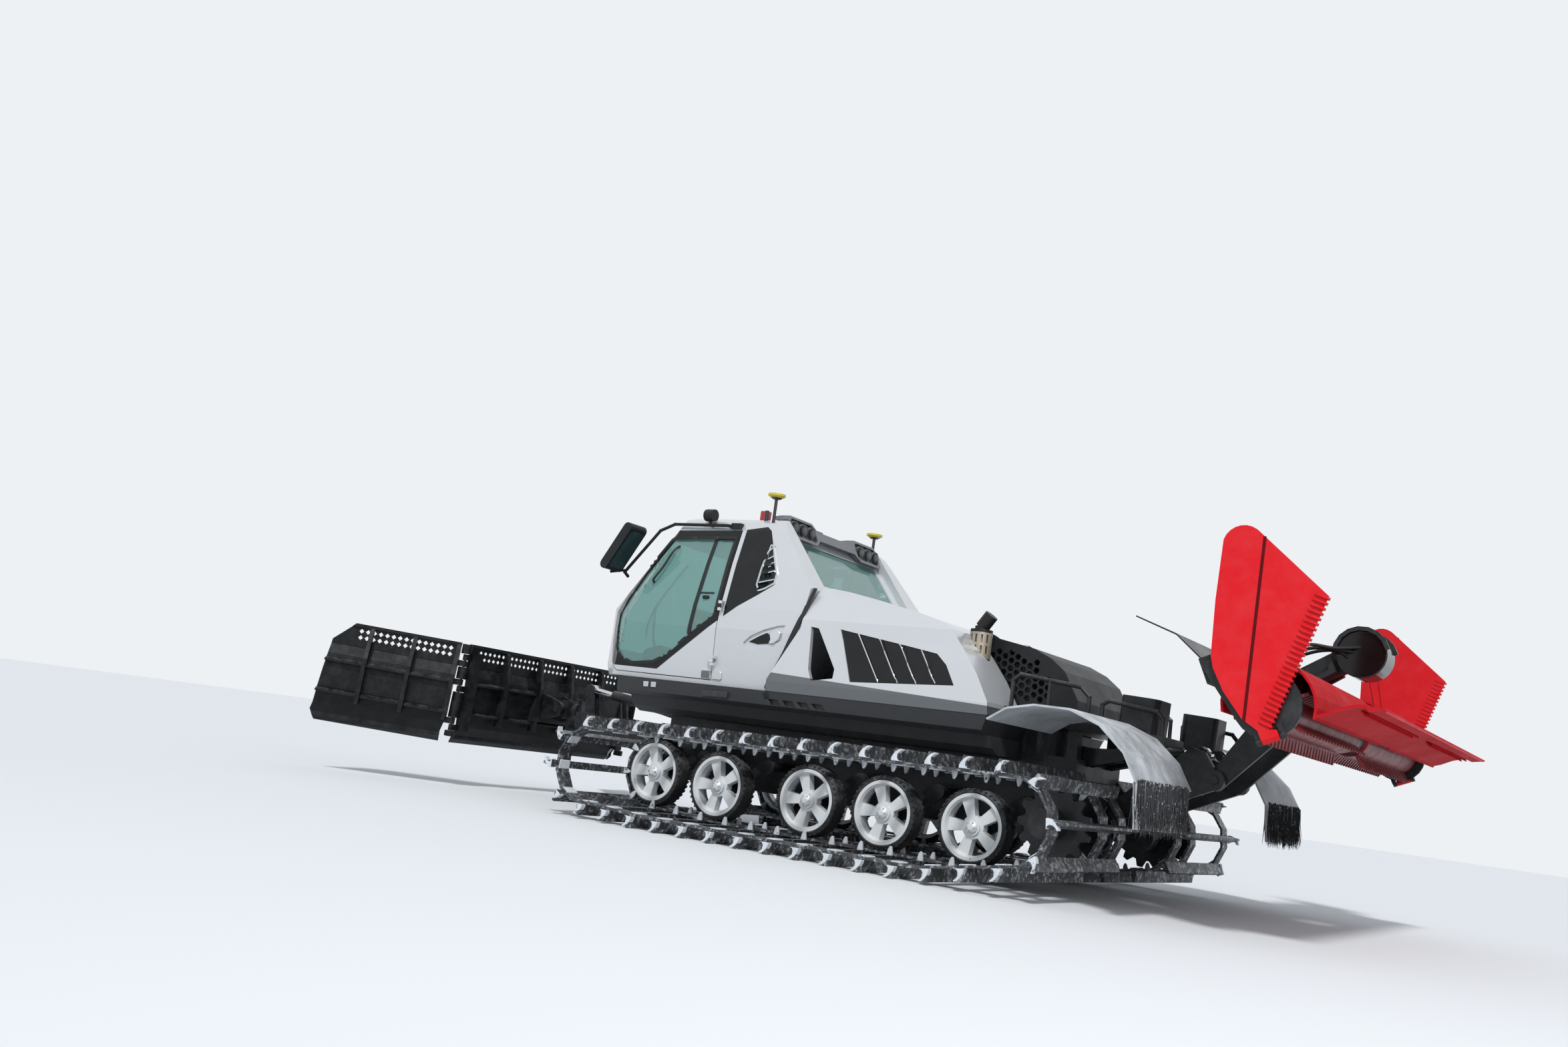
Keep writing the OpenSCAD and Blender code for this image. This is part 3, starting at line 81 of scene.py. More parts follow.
def camera_axes(yaw, pitch, roll):
    """Right, up and forward of a camera: forward from yaw and pitch, then a roll about it."""
    flat = math.cos(pitch)
    forward = np.array([math.cos(yaw) * flat, math.sin(yaw) * flat, math.sin(pitch)])
    level = np.array([math.sin(yaw), -math.cos(yaw), 0.0])
    upright = np.cross(level, forward)
    right = math.cos(roll) * level + math.sin(roll) * upright
    up = -math.sin(roll) * level + math.cos(roll) * upright
    return right, up, forward


def make_camera():
    """The photograph's camera as a Blender camera, which looks along its own -Z."""
    data = bpy.data.cameras.new("Camera")
    data.lens, data.sensor_width = FOCAL_MM, SENSOR_MM
    data.clip_end = 200.0
    camera = bpy.data.objects.new("Camera", data)
    bpy.context.scene.collection.objects.link(camera)
    right, up, forward = camera_axes(YAW, PITCH, ROLL)
    turn = Matrix([[right[i], up[i], -forward[i]] for i in range(3)]).to_4x4()
    camera.matrix_world = Matrix.Translation(Vector(EYE)) @ turn
    bpy.context.scene.camera = camera
    return camera


make_camera()
print("camera at", [round(float(v), 2) for v in EYE], "with a lens of", FOCAL_MM, "mm")

# %% [markdown]
# ## Studio
# A plain pale floor and a pale surround, lit softly from above and from the camera's side.
# The surround is bright only where the camera, a reflection or a pane of glass looks at it,
# so the machine itself gets a plain amount of light and its colours stay as written.

# %% Colours and nodes
def linear(code):
    """An sRGB hex code as linear RGBA: (c/12.92), or ((c+0.055)/1.055)^2.4 above 0.04045."""
    c = np.array([int(code[i:i + 2], 16) for i in (1, 3, 5)]) / 255.0
    return (*np.where(c <= 0.04045, c / 12.92, ((c + 0.055) / 1.055) ** 2.4), 1.0)


def add(tree, kind, settings=None, links=None):
    """Adds one node. A setting is a property or an input's value; a link feeds an input."""
    node = tree.nodes.new(kind)
    for key, value in (settings or {}).items():
        if isinstance(key, int) or key in node.inputs:
            node.inputs[key].default_value = value
        else:
            setattr(node, key, value)
    for key, source in (links or {}).items():
        tree.links.new(source, node.inputs[key])
    return node


# %% World and lamps
SURROUND = linear("#EEF1F4")
SOFT_LIGHT = linear("#E9EFF6")
SOFT_STRENGTH = 0.52


def make_world():
    """Soft light from all round, with a plain pale surround for the camera and for reflections."""
    world = bpy.data.worlds.new("Surround")
    bpy.context.scene.world = world
    world.use_nodes = True
    tree = world.node_tree
    tree.nodes.clear()
    path = add(tree, "ShaderNodeLightPath")
    seen = add(tree, "ShaderNodeMath", {"operation": "MAXIMUM"},
               {0: path.outputs["Is Camera Ray"], 1: path.outputs["Is Transmission Ray"]})
    seen = add(tree, "ShaderNodeMath", {"operation": "MAXIMUM"},
               {0: seen.outputs[0], 1: path.outputs["Is Glossy Ray"]})
    lit = add(tree, "ShaderNodeBackground", {"Color": SOFT_LIGHT, "Strength": SOFT_STRENGTH})
    shown = add(tree, "ShaderNodeBackground", {"Color": SURROUND, "Strength": 1.0})
    mixed = add(tree, "ShaderNodeMixShader", None,
                {0: seen.outputs[0], 1: lit.outputs[0], 2: shown.outputs[0]})
    add(tree, "ShaderNodeOutputWorld", None, {"Surface": mixed.outputs[0]})


def make_lamp(name, place, target, energy, size):
    """A square soft box that faces its target."""
    data = bpy.data.lights.new(name, "AREA")
    data.energy, data.size = energy, size
    lamp = bpy.data.objects.new(name, data)
    bpy.context.scene.collection.objects.link(lamp)
    lamp.location = place
    lamp.rotation_euler = (Vector(target) - Vector(place)).to_track_quat("-Z", "Y").to_euler()
    return lamp


def make_sun(name, direction, strength, spread_deg):
    """A soft sun that shines along a direction."""
    data = bpy.data.lights.new(name, "SUN")
    data.energy, data.angle = strength, math.radians(spread_deg)
    lamp = bpy.data.objects.new(name, data)
    bpy.context.scene.collection.objects.link(lamp)
    lamp.rotation_euler = Vector(direction).to_track_quat("-Z", "Y").to_euler()
    return lamp


KEY_WAY, KEY_STRENGTH, KEY_SPREAD = (0.35, -0.70, -0.80), 2.3, 8
FILL_AT, FILL_TARGET, FILL_WATTS, FILL_SIZE = (-9, 9, 5), (0, 0, 1.2), 190, 5
make_world()
make_sun("KeyLight", KEY_WAY, KEY_STRENGTH, KEY_SPREAD)
make_lamp("FillBox", FILL_AT, FILL_TARGET, FILL_WATTS, FILL_SIZE)
print("lit by", [lamp.name for lamp in bpy.data.lights])


# %% Floor
FLOOR_HALF = 70.0


def make_floor():
    """One square of pale floor under the tracks."""
    mesh = bpy.data.meshes.new("Floor")
    h = FLOOR_HALF
    mesh.from_pydata([(-h, -h, 0), (h, -h, 0), (h, h, 0), (-h, h, 0)], [], [(0, 1, 2, 3)])
    floor = bpy.data.objects.new("Floor", mesh)
    bpy.context.scene.collection.objects.link(floor)
    material = bpy.data.materials.new("PaleStudioFloor")
    material.use_nodes = True
    shader = material.node_tree.nodes["Principled BSDF"]
    shader.inputs["Base Color"].default_value = linear("#E3E6E9")
    shader.inputs["Roughness"].default_value = 0.9
    mesh.materials.append(material)
    return floor


print(make_floor().name, "is", 2 * FLOOR_HALF, "m wide")
bpy.context.scene.view_settings.view_transform = "Standard"

# %% [markdown]
# ## Finishes
# A groomer is painted steel, moulded panels, rubber and cast alloy, and it works in wet and
# frost. One builder makes every opaque finish from a real base colour, a slow
# mottle, a fine grain and, where the real part has it, wear down to metal and a film of
# dust or frost on what faces up. Patterns are sized in millimetres.

# %% Scales, and zones of a second colour
def per_mm(mm):
    """Noise scale whose features are about this many millimetres wide."""
    return 1000.0 / mm


# A painted edge is soft over this many metres to each side.
ZONE_BLUR = 0.0015


def zone_mask(tree, place, lines):
    """1 where z lies below the highest of some lines z = z0 + slope (x - x0), else 0."""
    x, z = (add(tree, "ShaderNodeSeparateXYZ", None, {0: place}).outputs[i] for i in (0, 2))
    height = None
    for x0, z0, slope in lines:
        rise = {"operation": "MULTIPLY_ADD", 1: slope, 2: z0 - slope * (x0 + FRAME_X)}
        line = add(tree, "ShaderNodeMath", rise, {0: x}).outputs[0]
        if height is None:
            height = line
        else:
            height = add(tree, "ShaderNodeMath", {"operation": "MAXIMUM"}, {0: height, 1: line}).outputs[0]
    over = add(tree, "ShaderNodeMath", {"operation": "SUBTRACT"}, {0: height, 1: z}).outputs[0]
    blur = {"From Min": -ZONE_BLUR, "From Max": ZONE_BLUR}
    return add(tree, "ShaderNodeMapRange", blur, {"Value": over}).outputs[0]


def zoned(tree, place, tone, metal, zones):
    """Tone, and metallic if there are zones: each zone's own below its lines, else what was there."""
    metallic = None
    for zone_colour, zone_metal, lines in zones:
        mask = zone_mask(tree, place, lines)
        paint = {"data_type": "RGBA", 7: linear(zone_colour)}
        tone = add(tree, "ShaderNodeMix", paint, {0: mask, 6: tone}).outputs[2]
        links = {0: mask, 2: metallic} if metallic else {0: mask}
        metals = {"data_type": "FLOAT", 2: metal, 3: zone_metal}
        metallic = add(tree, "ShaderNodeMix", metals, links).outputs[0]
    return tone, metallic


# %% Wear and film
# Wear has an edge this soft, as a step of its noise, and a film of dust or frost is this rough.
WEAR_EDGE, FILM_ROUGHNESS = 0.05, 0.85


def worn(tree, place, tone, wear, wear_mm, wear_share):
    """The tone with the wear's colour where fractal noise is above 1 - share."""
    rubbed = {"Scale": per_mm(wear_mm), "Detail": 9.0, "Roughness": 0.72}
    spots = add(tree, "ShaderNodeTexNoise", rubbed, {"Vector": place}).outputs[0]
    edge = {"From Min": 1 - wear_share, "From Max": 1 - wear_share + WEAR_EDGE}
    bare = add(tree, "ShaderNodeMapRange", edge, {"Value": spots}).outputs[0]
    return add(tree, "ShaderNodeMix", {"data_type": "RGBA", 7: linear(wear)}, {0: bare, 6: tone}).outputs[2]


def filmed(tree, place, tone, roughness, film, film_amount, film_mm):
    """Tone and roughness under a film whose amount is how far the face looks up, times noise."""
    facing = add(tree, "ShaderNodeSeparateXYZ", None,
                 {0: add(tree, "ShaderNodeNewGeometry").outputs["Normal"]}).outputs[2]
    patches = {"Scale": per_mm(film_mm), "Detail": 8.0, "Roughness": 0.68}
    cloud = add(tree, "ShaderNodeTexNoise", patches, {"Vector": place}).outputs[0]
    lying = {"From Min": -0.2, "From Max": 0.9, "To Min": 0.1, "To Max": 1.0}
    up = add(tree, "ShaderNodeMapRange", lying, {"Value": facing}).outputs[0]
    covered = {"From Min": 0.42, "From Max": 0.72, "To Max": film_amount}
    drift = add(tree, "ShaderNodeMapRange", covered, {"Value": cloud}).outputs[0]
    amount = add(tree, "ShaderNodeMath", {"operation": "MULTIPLY"}, {0: up, 1: drift}).outputs[0]
    film_tone = {"data_type": "RGBA", 7: linear(film)}
    dull = {"data_type": "FLOAT", 3: FILM_ROUGHNESS}
    return (add(tree, "ShaderNodeMix", film_tone, {0: amount, 6: tone}).outputs[2],
            add(tree, "ShaderNodeMix", dull, {0: amount, 2: roughness}).outputs[0])


# %% The builder of a finish
COAT_ROUGHNESS, GRAIN_DEPTH = 0.12, 0.002


def finish(name, colour, other=None, mottle_mm=300, rough=(0.4, 0.5), metal=0.0, coat=0.0, grain_mm=2.0,
           grain=0.1, wear=None, wear_mm=40, wear_share=0.42, film=None, film_amount=0.0, film_mm=120,
           sheen=0.0, shine=0.5, zones=()):
    """A material of base colour and mottle, wear spots, a film on up-facing parts, and a grain.

    Colour = mix(colour, other, noise), then each zone's colour below its lines, then
    mix(wear colour, noise above wear_share), then mix(film colour, up-facing x noise).
    Roughness runs between rough[0] and rough[1] by noise. A zone is (colour, metallic, lines),
    its lines (x0, z0, slope) as in zone_mask. shine below 0.5 is for surfaces dulled by use.
    """
    material = bpy.data.materials.new(name)
    material.use_nodes = True
    tree = material.node_tree
    shader = tree.nodes["Principled BSDF"]
    place = add(tree, "ShaderNodeTexCoord").outputs["Object"]
    mottle = {"Scale": per_mm(mottle_mm), "Detail": 6.0, "Roughness": 0.6}
    slow = add(tree, "ShaderNodeTexNoise", mottle, {"Vector": place}).outputs[0]
    grit = {"Scale": per_mm(grain_mm), "Detail": 3.0}
    fine = add(tree, "ShaderNodeTexNoise", grit, {"Vector": place}).outputs[0]
    tones = {"data_type": "RGBA", 6: linear(colour), 7: linear(other or colour)}
    tone = add(tree, "ShaderNodeMix", tones, {0: slow}).outputs[2]
    spread = {"From Min": 0.3, "From Max": 0.7, "To Min": rough[0], "To Max": rough[1]}
    roughness = add(tree, "ShaderNodeMapRange", spread, {"Value": slow}).outputs[0]
    tone, metallic = zoned(tree, place, tone, metal, zones)
    if wear:
        tone = worn(tree, place, tone, wear, wear_mm, wear_share)
    if film_amount:
        tone, roughness = filmed(tree, place, tone, roughness, film, film_amount, film_mm)
    relief = {"Strength": grain, "Distance": GRAIN_DEPTH}
    bump = add(tree, "ShaderNodeBump", relief, {"Height": fine}).outputs[0]
    tree.links.new(tone, shader.inputs["Base Color"])
    tree.links.new(roughness, shader.inputs["Roughness"])
    tree.links.new(bump, shader.inputs["Normal"])
    if metallic:
        tree.links.new(metallic, shader.inputs["Metallic"])
    for socket, value in (("Metallic", metal), ("Coat Weight", coat), ("Coat Roughness", COAT_ROUGHNESS),
                          ("Sheen Weight", sheen), ("Specular IOR Level", shine)):
        shader.inputs[socket].default_value = value
    return material


# %% The machine's finishes
FROST, DUST = "#E4E9EE", "#8B8B88"
# Moulded panels under silver lacquer: a pale satin with a clear coat and almost no grain.
SILVER = finish("SilverLacquerOnMouldedPanels", "#CDD0D3", "#C4C7CB", mottle_mm=900, rough=(0.26, 0.34),
                metal=0.35, coat=0.6, grain_mm=1.2, grain=0.03, film=DUST, film_amount=0.12, film_mm=400)
# The same lacquer in a darker grey, as on the roof bar.
GREY_LACQUER = finish("GreyLacquerOnMouldedPanels", "#5D6064", "#54575B", mottle_mm=500, rough=(0.28, 0.38),
                      metal=0.3, coat=0.5, grain_mm=1.2, grain=0.04)
# High gloss black, like piano lacquer: mirror-like, with a faint dusting.
GLOSS_BLACK = finish("GlossBlackLacquer", "#0A0B0D", "#0D0E10", mottle_mm=500, rough=(0.08, 0.16),
                     coat=0.25, grain_mm=1.5, grain=0.01, film=DUST, film_amount=0.04, shine=0.25)
# Powder-coated steel: satin black with a slight orange peel, chipped and lightly frosted.
POWDER_BLACK = finish("BlackPowderCoatedSteel", "#191A1C", "#222326", mottle_mm=250, rough=(0.38, 0.55),
                      metal=0.1, coat=0.15, grain_mm=2.5, grain=0.12, wear="#3C3D3F", wear_mm=60,
                      wear_share=0.35, film=FROST, film_amount=0.10, film_mm=90, shine=0.3)
# The blade's steel: black paint, scoured on its face and bare at the cutting edge.
BLADE_BLACK = finish("ScouredBlackBladePaint", "#0B0C0E", "#121315", mottle_mm=350, rough=(0.4, 0.55),
                     coat=0.05, grain_mm=3.0, grain=0.14, wear="#34373A", wear_mm=90, wear_share=0.31,
                     film=FROST, film_amount=0.10, film_mm=110, shine=0.2,
                     zones=[("#2E3134", 0.4, [(4.0, 0.470, 0.0)])])
# Black moulded plastic: fine leather-like grain, low gloss.
MOULDED_BLACK = finish("GrainedBlackPlastic", "#121315", "#18191B", rough=(0.42, 0.55), grain_mm=1.6,
                       grain=0.18, film=DUST, film_amount=0.1, film_mm=200, shine=0.3)
# The sill and the skirts: the same plastic, greyer, with dust on what faces up.
SILL_PLASTIC = finish("GrainedDarkSillPlastic", "#26282B", "#2E3033", mottle_mm=400, rough=(0.5, 0.62),
                      grain_mm=1.8, grain=0.2, film=DUST, film_amount=0.25, film_mm=160)
# Track bars: extruded alloy, grey and rubbed bright, mottled with a darker grey, and frosted where they face
# up.
BAR_ALLOY = finish("RubbedTrackBarAlloy", "#5A5C5F", "#2A2B2D", mottle_mm=120, rough=(0.35, 0.6),
                   metal=0.75, grain_mm=3.0, grain=0.2, wear="#A9ACAF", wear_mm=45, wear_share=0.47,
                   film=FROST, film_amount=0.35, film_mm=70)
# Belt and tyre rubber: dull black, with a pale frost on what faces up.
RUBBER = finish("MouldedBlackRubber", "#141415", "#1D1D1E", mottle_mm=150, rough=(0.6, 0.78), grain=0.25,
                film=FROST, film_amount=0.22, film_mm=60)
# The flaps' rubber sheets, grey-white under a coat of frost.
FLAP_RUBBER = finish("SheetRubberOfTheFlaps", "#6E7377", "#C4CACF", mottle_mm=160, rough=(0.55, 0.7),
                     grain_mm=1.5, grain=0.2, film=FROST, film_amount=0.95, film_mm=200)
# Cast wheel alloy, painted off-white and dulled.
RIM_ALLOY = finish("PaintedCastRimAlloy", "#E2E5E6", "#CDD1D3", mottle_mm=140, rough=(0.4, 0.55),
                   metal=0.25, coat=0.2, grain=0.12, wear="#8B8E90", wear_mm=50, wear_share=0.36,
                   film=FROST, film_amount=0.3, film_mm=60)
# Hard chrome rods and trim.
CHROME = finish("HardChromePlate", "#D6D8DA", "#C9CCCE", mottle_mm=100, rough=(0.06, 0.14), metal=1.0,
                grain_mm=1.0, grain=0.01)
# Bright red machine paint, slightly bleached and rubbed in spots.
RED_PAINT = finish("RedMachinePaint", "#D31620", "#C4121C", mottle_mm=500, coat=0.05, grain_mm=2.2,
                   grain=0.06, wear="#8E2A2C", wear_mm=70, wear_share=0.33, film=FROST, film_amount=0.06,
                   film_mm=120, shine=0.18)
# Red moulded polyurethane of the cover and its mat: through-coloured, dull and a shade deeper.
COVER_RED = finish("RedMouldedPolyurethane", "#B90F1B", "#A80D18", mottle_mm=400, rough=(0.6, 0.75),
                   grain_mm=1.8, wear="#8A2226", wear_mm=60, wear_share=0.33, film=FROST, film_amount=0.04,
                   film_mm=120, shine=0.08)
# The rotor's paint, scoured dark and bare in spots.
DARK_RED = finish("ScouredDarkRedPaint", "#7A1219", "#5E1015", mottle_mm=120, rough=(0.4, 0.6), metal=0.1,
                  coat=0.1, grain_mm=2.5, grain=0.15, wear="#6F6A68", wear_mm=40, wear_share=0.38,
                  shine=0.3)
# The exhaust's black tip above, and its beige heat shield below, told apart by height.
HOT_STEEL = finish("BlackExhaustTipOverBeigeShieldSteel", "#1C1B1B", "#2A2725", mottle_mm=60,
                   rough=(0.4, 0.55), metal=0.5, grain_mm=1.5, grain=0.08,
                   zones=[("#A59C8C", 0.6, [(-1.29, 1.965, 0.0)])])
# Yellow discs on black posts, and a beacon of red plastic: one node, told apart by height and
# station.
ANTENNA = finish("YellowAndBlackMouldedHousings", "#CDBB2E", "#C2B028", mottle_mm=60, rough=(0.3, 0.45),
                 coat=0.3, grain_mm=1.0, grain=0.04,
                 zones=[("#141517", 0.0, [(0, 3.062, 0)]), ("#A5131B", 0.0, [(1.05, 2.4, 60.0)])])
# A door is silver below its glass and gloss black round it.
DOOR_TWO_TONE = finish("GlossBlackAndSilverDoorLacquer", "#0A0B0D", "#0D0E10", mottle_mm=500,
                       rough=(0.1, 0.2), coat=0.25, grain_mm=1.5, grain=0.01, shine=0.25,
                       zones=[("#CDD0D3", 0.35, [(1.165, 1.870, -0.764), (1.9, 1.378, 0.0)])])
# The engine's side panel: silver with a darker satin grey band along its foot.
PANEL_TWO_TONE = finish("SilverLacquerWithGreyFoot", "#CDD0D3", "#C4C7CB", mottle_mm=900,
                        rough=(0.26, 0.34), metal=0.35, coat=0.6, grain_mm=1.2, grain=0.03, film=DUST,
                        film_amount=0.12, film_mm=400, zones=[("#5E6266", 0.35, [(0.4, 1.440, 0.045)])])
# The engine and the sill's step plate: bare iron, dark and rough.
CAST_IRON = finish("BareCastIron", "#55575A", "#3F4143", mottle_mm=90, rough=(0.5, 0.7), metal=0.7,
                   grain_mm=4.0, grain=0.4)
# Seat cloth, coarse to the touch, with a faint sheen.
SEAT_CLOTH = finish("WovenCushionCloth", "#2A2C31", "#1F2124", mottle_mm=60, rough=(0.8, 0.9), grain_mm=1.4,
                    grain=0.5, sheen=0.4)
print(len(bpy.data.materials), "materials")

# %% [markdown]
# ## Glass
# Tinted safety glass is a thin pane that lets a green-grey light through and mirrors its
# surround at grazing angles. A real transmission shader on the 8 mm solid pane does both.

# %% Glass
# Wiped smears are about as wide as a hand's sweep.
SMEAR_MM = 260


def glass(name, colour, roughness=0.02, through=0.9):
    """A clear or tinted pane: the shader transmits most light and keeps a faint tint."""
    material = bpy.data.materials.new(name)
    material.use_nodes = True
    tree = material.node_tree
    shader = tree.nodes["Principled BSDF"]
    shader.inputs["Base Color"].default_value = linear(colour)
    shader.inputs["Transmission Weight"].default_value = through
    shader.inputs["IOR"].default_value = 1.45
    place = add(tree, "ShaderNodeTexCoord").outputs["Object"]
    wipes = {"Scale": per_mm(SMEAR_MM), "Detail": 7.0}
    smear = add(tree, "ShaderNodeTexNoise", wipes, {"Vector": place}).outputs[0]
    spread = {"From Min": 0.45, "From Max": 0.75, "To Min": roughness, "To Max": roughness + 0.1}
    haze = add(tree, "ShaderNodeMapRange", spread, {"Value": smear}).outputs[0]
    tree.links.new(haze, shader.inputs["Roughness"])
    return material


TINTED = glass("GreenTintedSafetyGlass", "#A3CCC7", 0.02, 0.72)
LENS = glass("ClearLampLens", "#E9EEF0", 0.03, 0.95)

# %% Each CAD node gets its finish
FINISH_OF = {
    SILVER: ["cab_shell", "body_top"],
    GREY_LACQUER: ["roof_light_bar"],
    GLOSS_BLACK: ["quarter_panels", "side_louvres"],
    POWDER_BLACK: ["chassis_tub", "rear_deck", "deck_rails", "swing_arms", "push_frame", "swing_yoke",
                   "tilt_block", "tiller_arms", "tiller_frame", "blade_lift_barrels", "tiller_lift_barrels",
                   "drive_sprockets"],
    BLADE_BLACK: ["blade_middle", "wing_left", "wing_right"],
    MOULDED_BLACK: ["mirrors", "engine_hood"],
    SILL_PLASTIC: ["side_skirts", "lower_belt"],
    BAR_ALLOY: ["track_left", "track_right"],
    RUBBER: ["road_tyres"],
    FLAP_RUBBER: ["track_flaps"],
    RIM_ALLOY: ["wheel_rims"],
    CHROME: ["blade_lift_rods", "tiller_lift_rods"],
    RED_PAINT: ["finisher_left", "finisher_right"],
    COVER_RED: ["tiller_cover"],
    DARK_RED: ["tiller_rotor"],
    HOT_STEEL: ["exhaust_stack"],
    ANTENNA: ["roof_antennas"],
    DOOR_TWO_TONE: ["door_left", "door_right"],
    PANEL_TWO_TONE: ["side_panel_left", "side_panel_right"],
    CAST_IRON: ["engine_block"],
    SEAT_CLOTH: ["cab_interior"],
    TINTED: ["cab_windows", "door_glass_left", "door_glass_right"],
}
for material, names in FINISH_OF.items():
    for name in names:
        NODES[name].data.materials.clear()
        NODES[name].data.materials.append(material)
left_over = set(NODES).difference(*FINISH_OF.values())
print("nodes without a finish of their own:", sorted(left_over))

# %% [markdown]
# ## Shapes from grids
# Every new piece is a set of points worked out at once: a profile carried along a path, a
# profile turned about an axis, or an outline pushed from one side to the other. A part is kept
# as points and faces until it becomes an object, so that it can be copied and joined first.

# %% Faces of a grid
def grid_faces(rows, columns):
    """Quads of a grid of points whose last column joins the first."""
    r, c = np.arange(rows - 1)[:, None], np.arange(columns)[None, :]
    n = (c + 1) % columns
    quads = np.stack([r * columns + c, r * columns + n, (r + 1) * columns + n, (r + 1) * columns + c], -1)
    return quads.reshape(-1, 4).tolist()


def caps(rows, columns):
    """The two faces that close a grid's first and last ring."""
    return [list(range(columns))[::-1], list(range((rows - 1) * columns, rows * columns))]


def outward(points, faces):
    """The faces, turned over if the volume, a sum of a . (b x c) over their fans, is negative."""
    fans = np.array([(f[0], f[i], f[i + 1]) for f in faces for i in range(1, len(f) - 1)])
    a, b, c = (points[fans[:, i]] - points.mean(0) for i in range(3))
    turned = (a * np.cross(b, c)).sum() < 0
    return points, [f[::-1] for f in faces] if turned else faces


# %% Sweeps and turned shapes
def along(path, profile, side, closed=False):
    """A closed profile (a, b) along a path: point = path + a side + b (heading x side)."""
    path, profile = np.asarray(path, float), np.asarray(profile, float)
    side = np.broadcast_to(np.asarray(side, float), path.shape)
    if closed:
        heading = np.roll(path, -1, 0) - np.roll(path, 1, 0)
        path, heading, side = (np.concatenate([v, v[:1]]) for v in (path, heading, side))
    else:
        heading = np.gradient(path, axis=0)
    heading = heading / np.linalg.norm(heading, axis=1, keepdims=True)
    side = side - (side * heading).sum(1, keepdims=True) * heading
    side = side / np.linalg.norm(side, axis=1, keepdims=True)
    up = np.cross(heading, side)
    points = path[:, None] + profile[None, :, :1] * side[:, None] + profile[None, :, 1:] * up[:, None]
    points = points.reshape(-1, 3)
    n, m = len(path), len(profile)
    faces = grid_faces(n, m)
    if closed:
        points, faces = points[:-m], (np.array(faces) % ((n - 1) * m)).tolist()
    else:
        faces += caps(n, m)
    return outward(points, faces)


def prism(foot, top):
    """A solid between two outlines of as many points."""
    return outward(np.concatenate([foot, top]), grid_faces(2, len(foot)) + caps(2, len(foot)))


def slab(outline, y0, y1):
    """An outline in X and Z, pushed from y0 to y1."""
    o = np.asarray(outline, float)
    return prism(*(np.insert(o, 1, y, axis=1) for y in (y0, y1)))


def lathe(centre, axis, profile, steps=32):
    """A profile (radius, height) turned about an axis: centre + h axis + r (u cos t + w sin t)."""
    axis = np.asarray(axis, float) / np.linalg.norm(axis)
    u = np.cross(axis, [0.3, 0.2, 0.9])
    u /= np.linalg.norm(u)
    t = np.linspace(0, 2 * math.pi, steps, endpoint=False)[:, None]
    ring = np.cos(t) * u + np.sin(t) * np.cross(axis, u)
    r, h = np.asarray(profile, float).T
    points = (np.asarray(centre) + h[:, None, None] * axis + r[:, None, None] * ring[None]).reshape(-1, 3)
    return outward(points, grid_faces(len(r), steps) + caps(len(r), steps))


def from_both_ends(half, width):
    """A turned profile (radius, height) whose second half repeats the first from the other end."""
    return list(half) + [(r, width - h) for r, h in half[::-1]]


# %% Joining, copying and mirroring
def join(parts):
    """Several parts as one."""
    starts = np.cumsum([0] + [len(p) for p, _ in parts])
    faces = [[i + s for i in face] for (_, part), s in zip(parts, starts.tolist()) for face in part]
    return np.concatenate([p for p, _ in parts]), faces


def copies(part, origins, xs, ys, zs):
    """A part set down at each origin along its axes: p = origin + x xs + y ys + z zs."""
    p, faces = part
    shape = (len(origins), 3)
    o, xs, ys, zs = (np.broadcast_to(np.asarray(v, float), shape)[:, None] for v in (origins, xs, ys, zs))
    points = o + p[None, :, :1] * xs + p[None, :, 1:2] * ys + p[None, :, 2:] * zs
    shifts = (np.arange(len(origins)) * len(p)).tolist()
    return points.reshape(-1, 3), [[i + s for i in face] for s in shifts for face in faces]


def other_side(part):
    """The part mirrored in the machine's middle plane, its faces turned over to match."""
    points, faces = part
    return points * [1, -1, 1], [f[::-1] for f in faces]


def both(part):
    """The part and its mirror image, as one."""
    return join([part, other_side(part)])


def as_drawn(part):
    """The part as it is, for the left side."""
    return part


SIDES = (("left", as_drawn), ("right", other_side))


# %% Profiles and smooth paths
def circle(radius, steps=12):
    """A round profile."""
    t = np.linspace(0, 2 * math.pi, steps, endpoint=False)
    return np.stack([radius * np.cos(t), radius * np.sin(t)], 1)


def flat_bar(width, height):
    """A rectangular profile that stands on its path."""
    w = width / 2
    return np.array([(0, -w), (height, -w), (height, w), (0, w)])


def smooth_path(points, steps=8):
    """Catmull-Rom: each span is a cubic through its ends whose slopes are half the neighbours' chord."""
    p = np.asarray(points, float)
    p = np.concatenate([[2 * p[0] - p[1]], p, [2 * p[-1] - p[-2]]])
    t = np.linspace(0, 1, steps, endpoint=False)[:, None]
    a, b, c, d = p[:-3, None], p[1:-2, None], p[2:-1, None], p[3:, None]
    q = 0.5 * (2 * b + (c - a) * t + (2 * a - 5 * b + 4 * c - d) * t ** 2 + (3 * b - a - 3 * c + d) * t ** 3)
    return np.concatenate([q.reshape(-1, 3), [p[-2]]])


# %% A part becomes a piece
# Edges sharper than this stay crisp, and are the ones that a bevel eases.
SHARP = math.radians(38)


